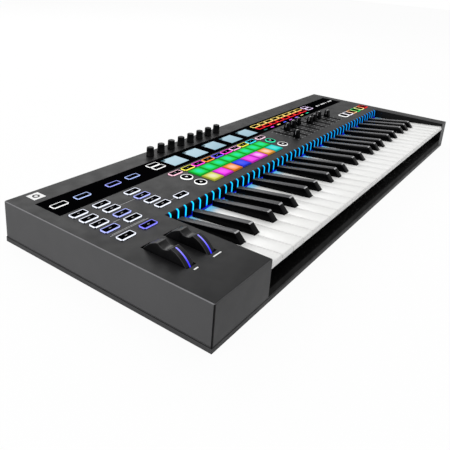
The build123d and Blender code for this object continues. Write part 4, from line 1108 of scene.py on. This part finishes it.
floorMaterial, nodes, links, shader = startMaterial("paleFloor")
cloud = spreadOf(nodes, links, noiseAt(nodes, links, objectPoint(nodes), stageLook["floorCloud"]), 0, 1)
tone = mixColours(nodes, links, cloud, stageLook["floorDark"], stageLook["floorLight"])
links.new(tone, shader.inputs["Base Color"])
shader.inputs["Roughness"].default_value = 0.9
white = addNode(nodes, "ShaderNodeEmission", Color=(1, 1, 1, 1), Strength=1.0)
blend = addNode(nodes, "ShaderNodeMixShader")
share = maths(nodes, links, "MULTIPLY", whiteRays(nodes, links), stageLook["whiteShare"])
links.new(share, blend.inputs["Fac"])
links.new(shader.outputs["BSDF"], blend.inputs[1])
links.new(white.outputs["Emission"], blend.inputs[2])
links.new(blend.outputs["Shader"], nodes["Material Output"].inputs["Surface"])
bpy.ops.mesh.primitive_plane_add(size=stageLook["floorSize"], location=(0, 0, 0))
floor = bpy.context.object
floor.name = "floor"
floor.data.materials.append(floorMaterial)

world = bpy.data.worlds.new("studio")
bpy.context.scene.world = world
world.use_nodes = True
nodes, links = world.node_tree.nodes, world.node_tree.links
background = nodes["Background"]
strength = ranged(nodes, links, whiteRays(nodes, links), (0.0, 1.0), (stageLook["worldLight"], 1.0))
links.new(strength, background.inputs["Strength"])
background.inputs["Color"].default_value = (1, 1, 1, 1)


def softLamp(name, place, aim, size, power):
    lamp = bpy.data.lights.new(name, "AREA")
    lamp.shape = "RECTANGLE"
    lamp.size, lamp.size_y = size
    lamp.energy = power
    holder = bpy.data.objects.new(name, lamp)
    bpy.context.collection.objects.link(holder)
    holder.location = place
    holder.rotation_euler = (Vector(aim) - Vector(place)).to_track_quat("-Z", "Y").to_euler()


softLamp("leftSoftbox", (-2.2, 0.3, 0.7), (-0.3, 0, 0.05), (1.8, 1.2), 22)
softLamp("backSoftbox", (0.9, 1.9, 1.5), (0, 0, 0), (2.4, 1.2), 30)
softLamp("overSoftbox", (0.2, -0.4, 2.2), (0, 0, 0), (2.0, 1.2), 14)
print("stage done")

# camera: yaw, pitch and roll in radians
cameraSetup = {"place": (-0.7187, -0.3575, 0.3245), "yaw": 0.9847, "pitch": -0.3383, "roll": 0.0737,
               "lens": 42.2, "shiftY": -0.1667}
yaw, pitch, roll = (cameraSetup[k] for k in ("yaw", "pitch", "roll"))
forward = Vector((math.sin(yaw) * math.cos(pitch), math.cos(yaw) * math.cos(pitch), math.sin(pitch)))
level = Vector((math.cos(yaw), -math.sin(yaw), 0))
upright = level.cross(forward)
across = math.cos(roll) * level + math.sin(roll) * upright
up = -math.sin(roll) * level + math.cos(roll) * upright
cameraData = bpy.data.cameras.new("camera")
cameraData.lens = cameraSetup["lens"]
cameraData.sensor_width = 36
cameraData.shift_y = cameraSetup["shiftY"]
cameraData.clip_start = 0.01
camera = bpy.data.objects.new("camera", cameraData)
bpy.context.collection.objects.link(camera)
camera.matrix_world = Matrix([(across[n], up[n], -forward[n], cameraSetup["place"][n]) for n in range(3)]
                             + [(0, 0, 0, 1)])
bpy.context.scene.camera = camera
bpy.context.scene.view_settings.view_transform = "Standard"

bpy.context.view_layer.update()
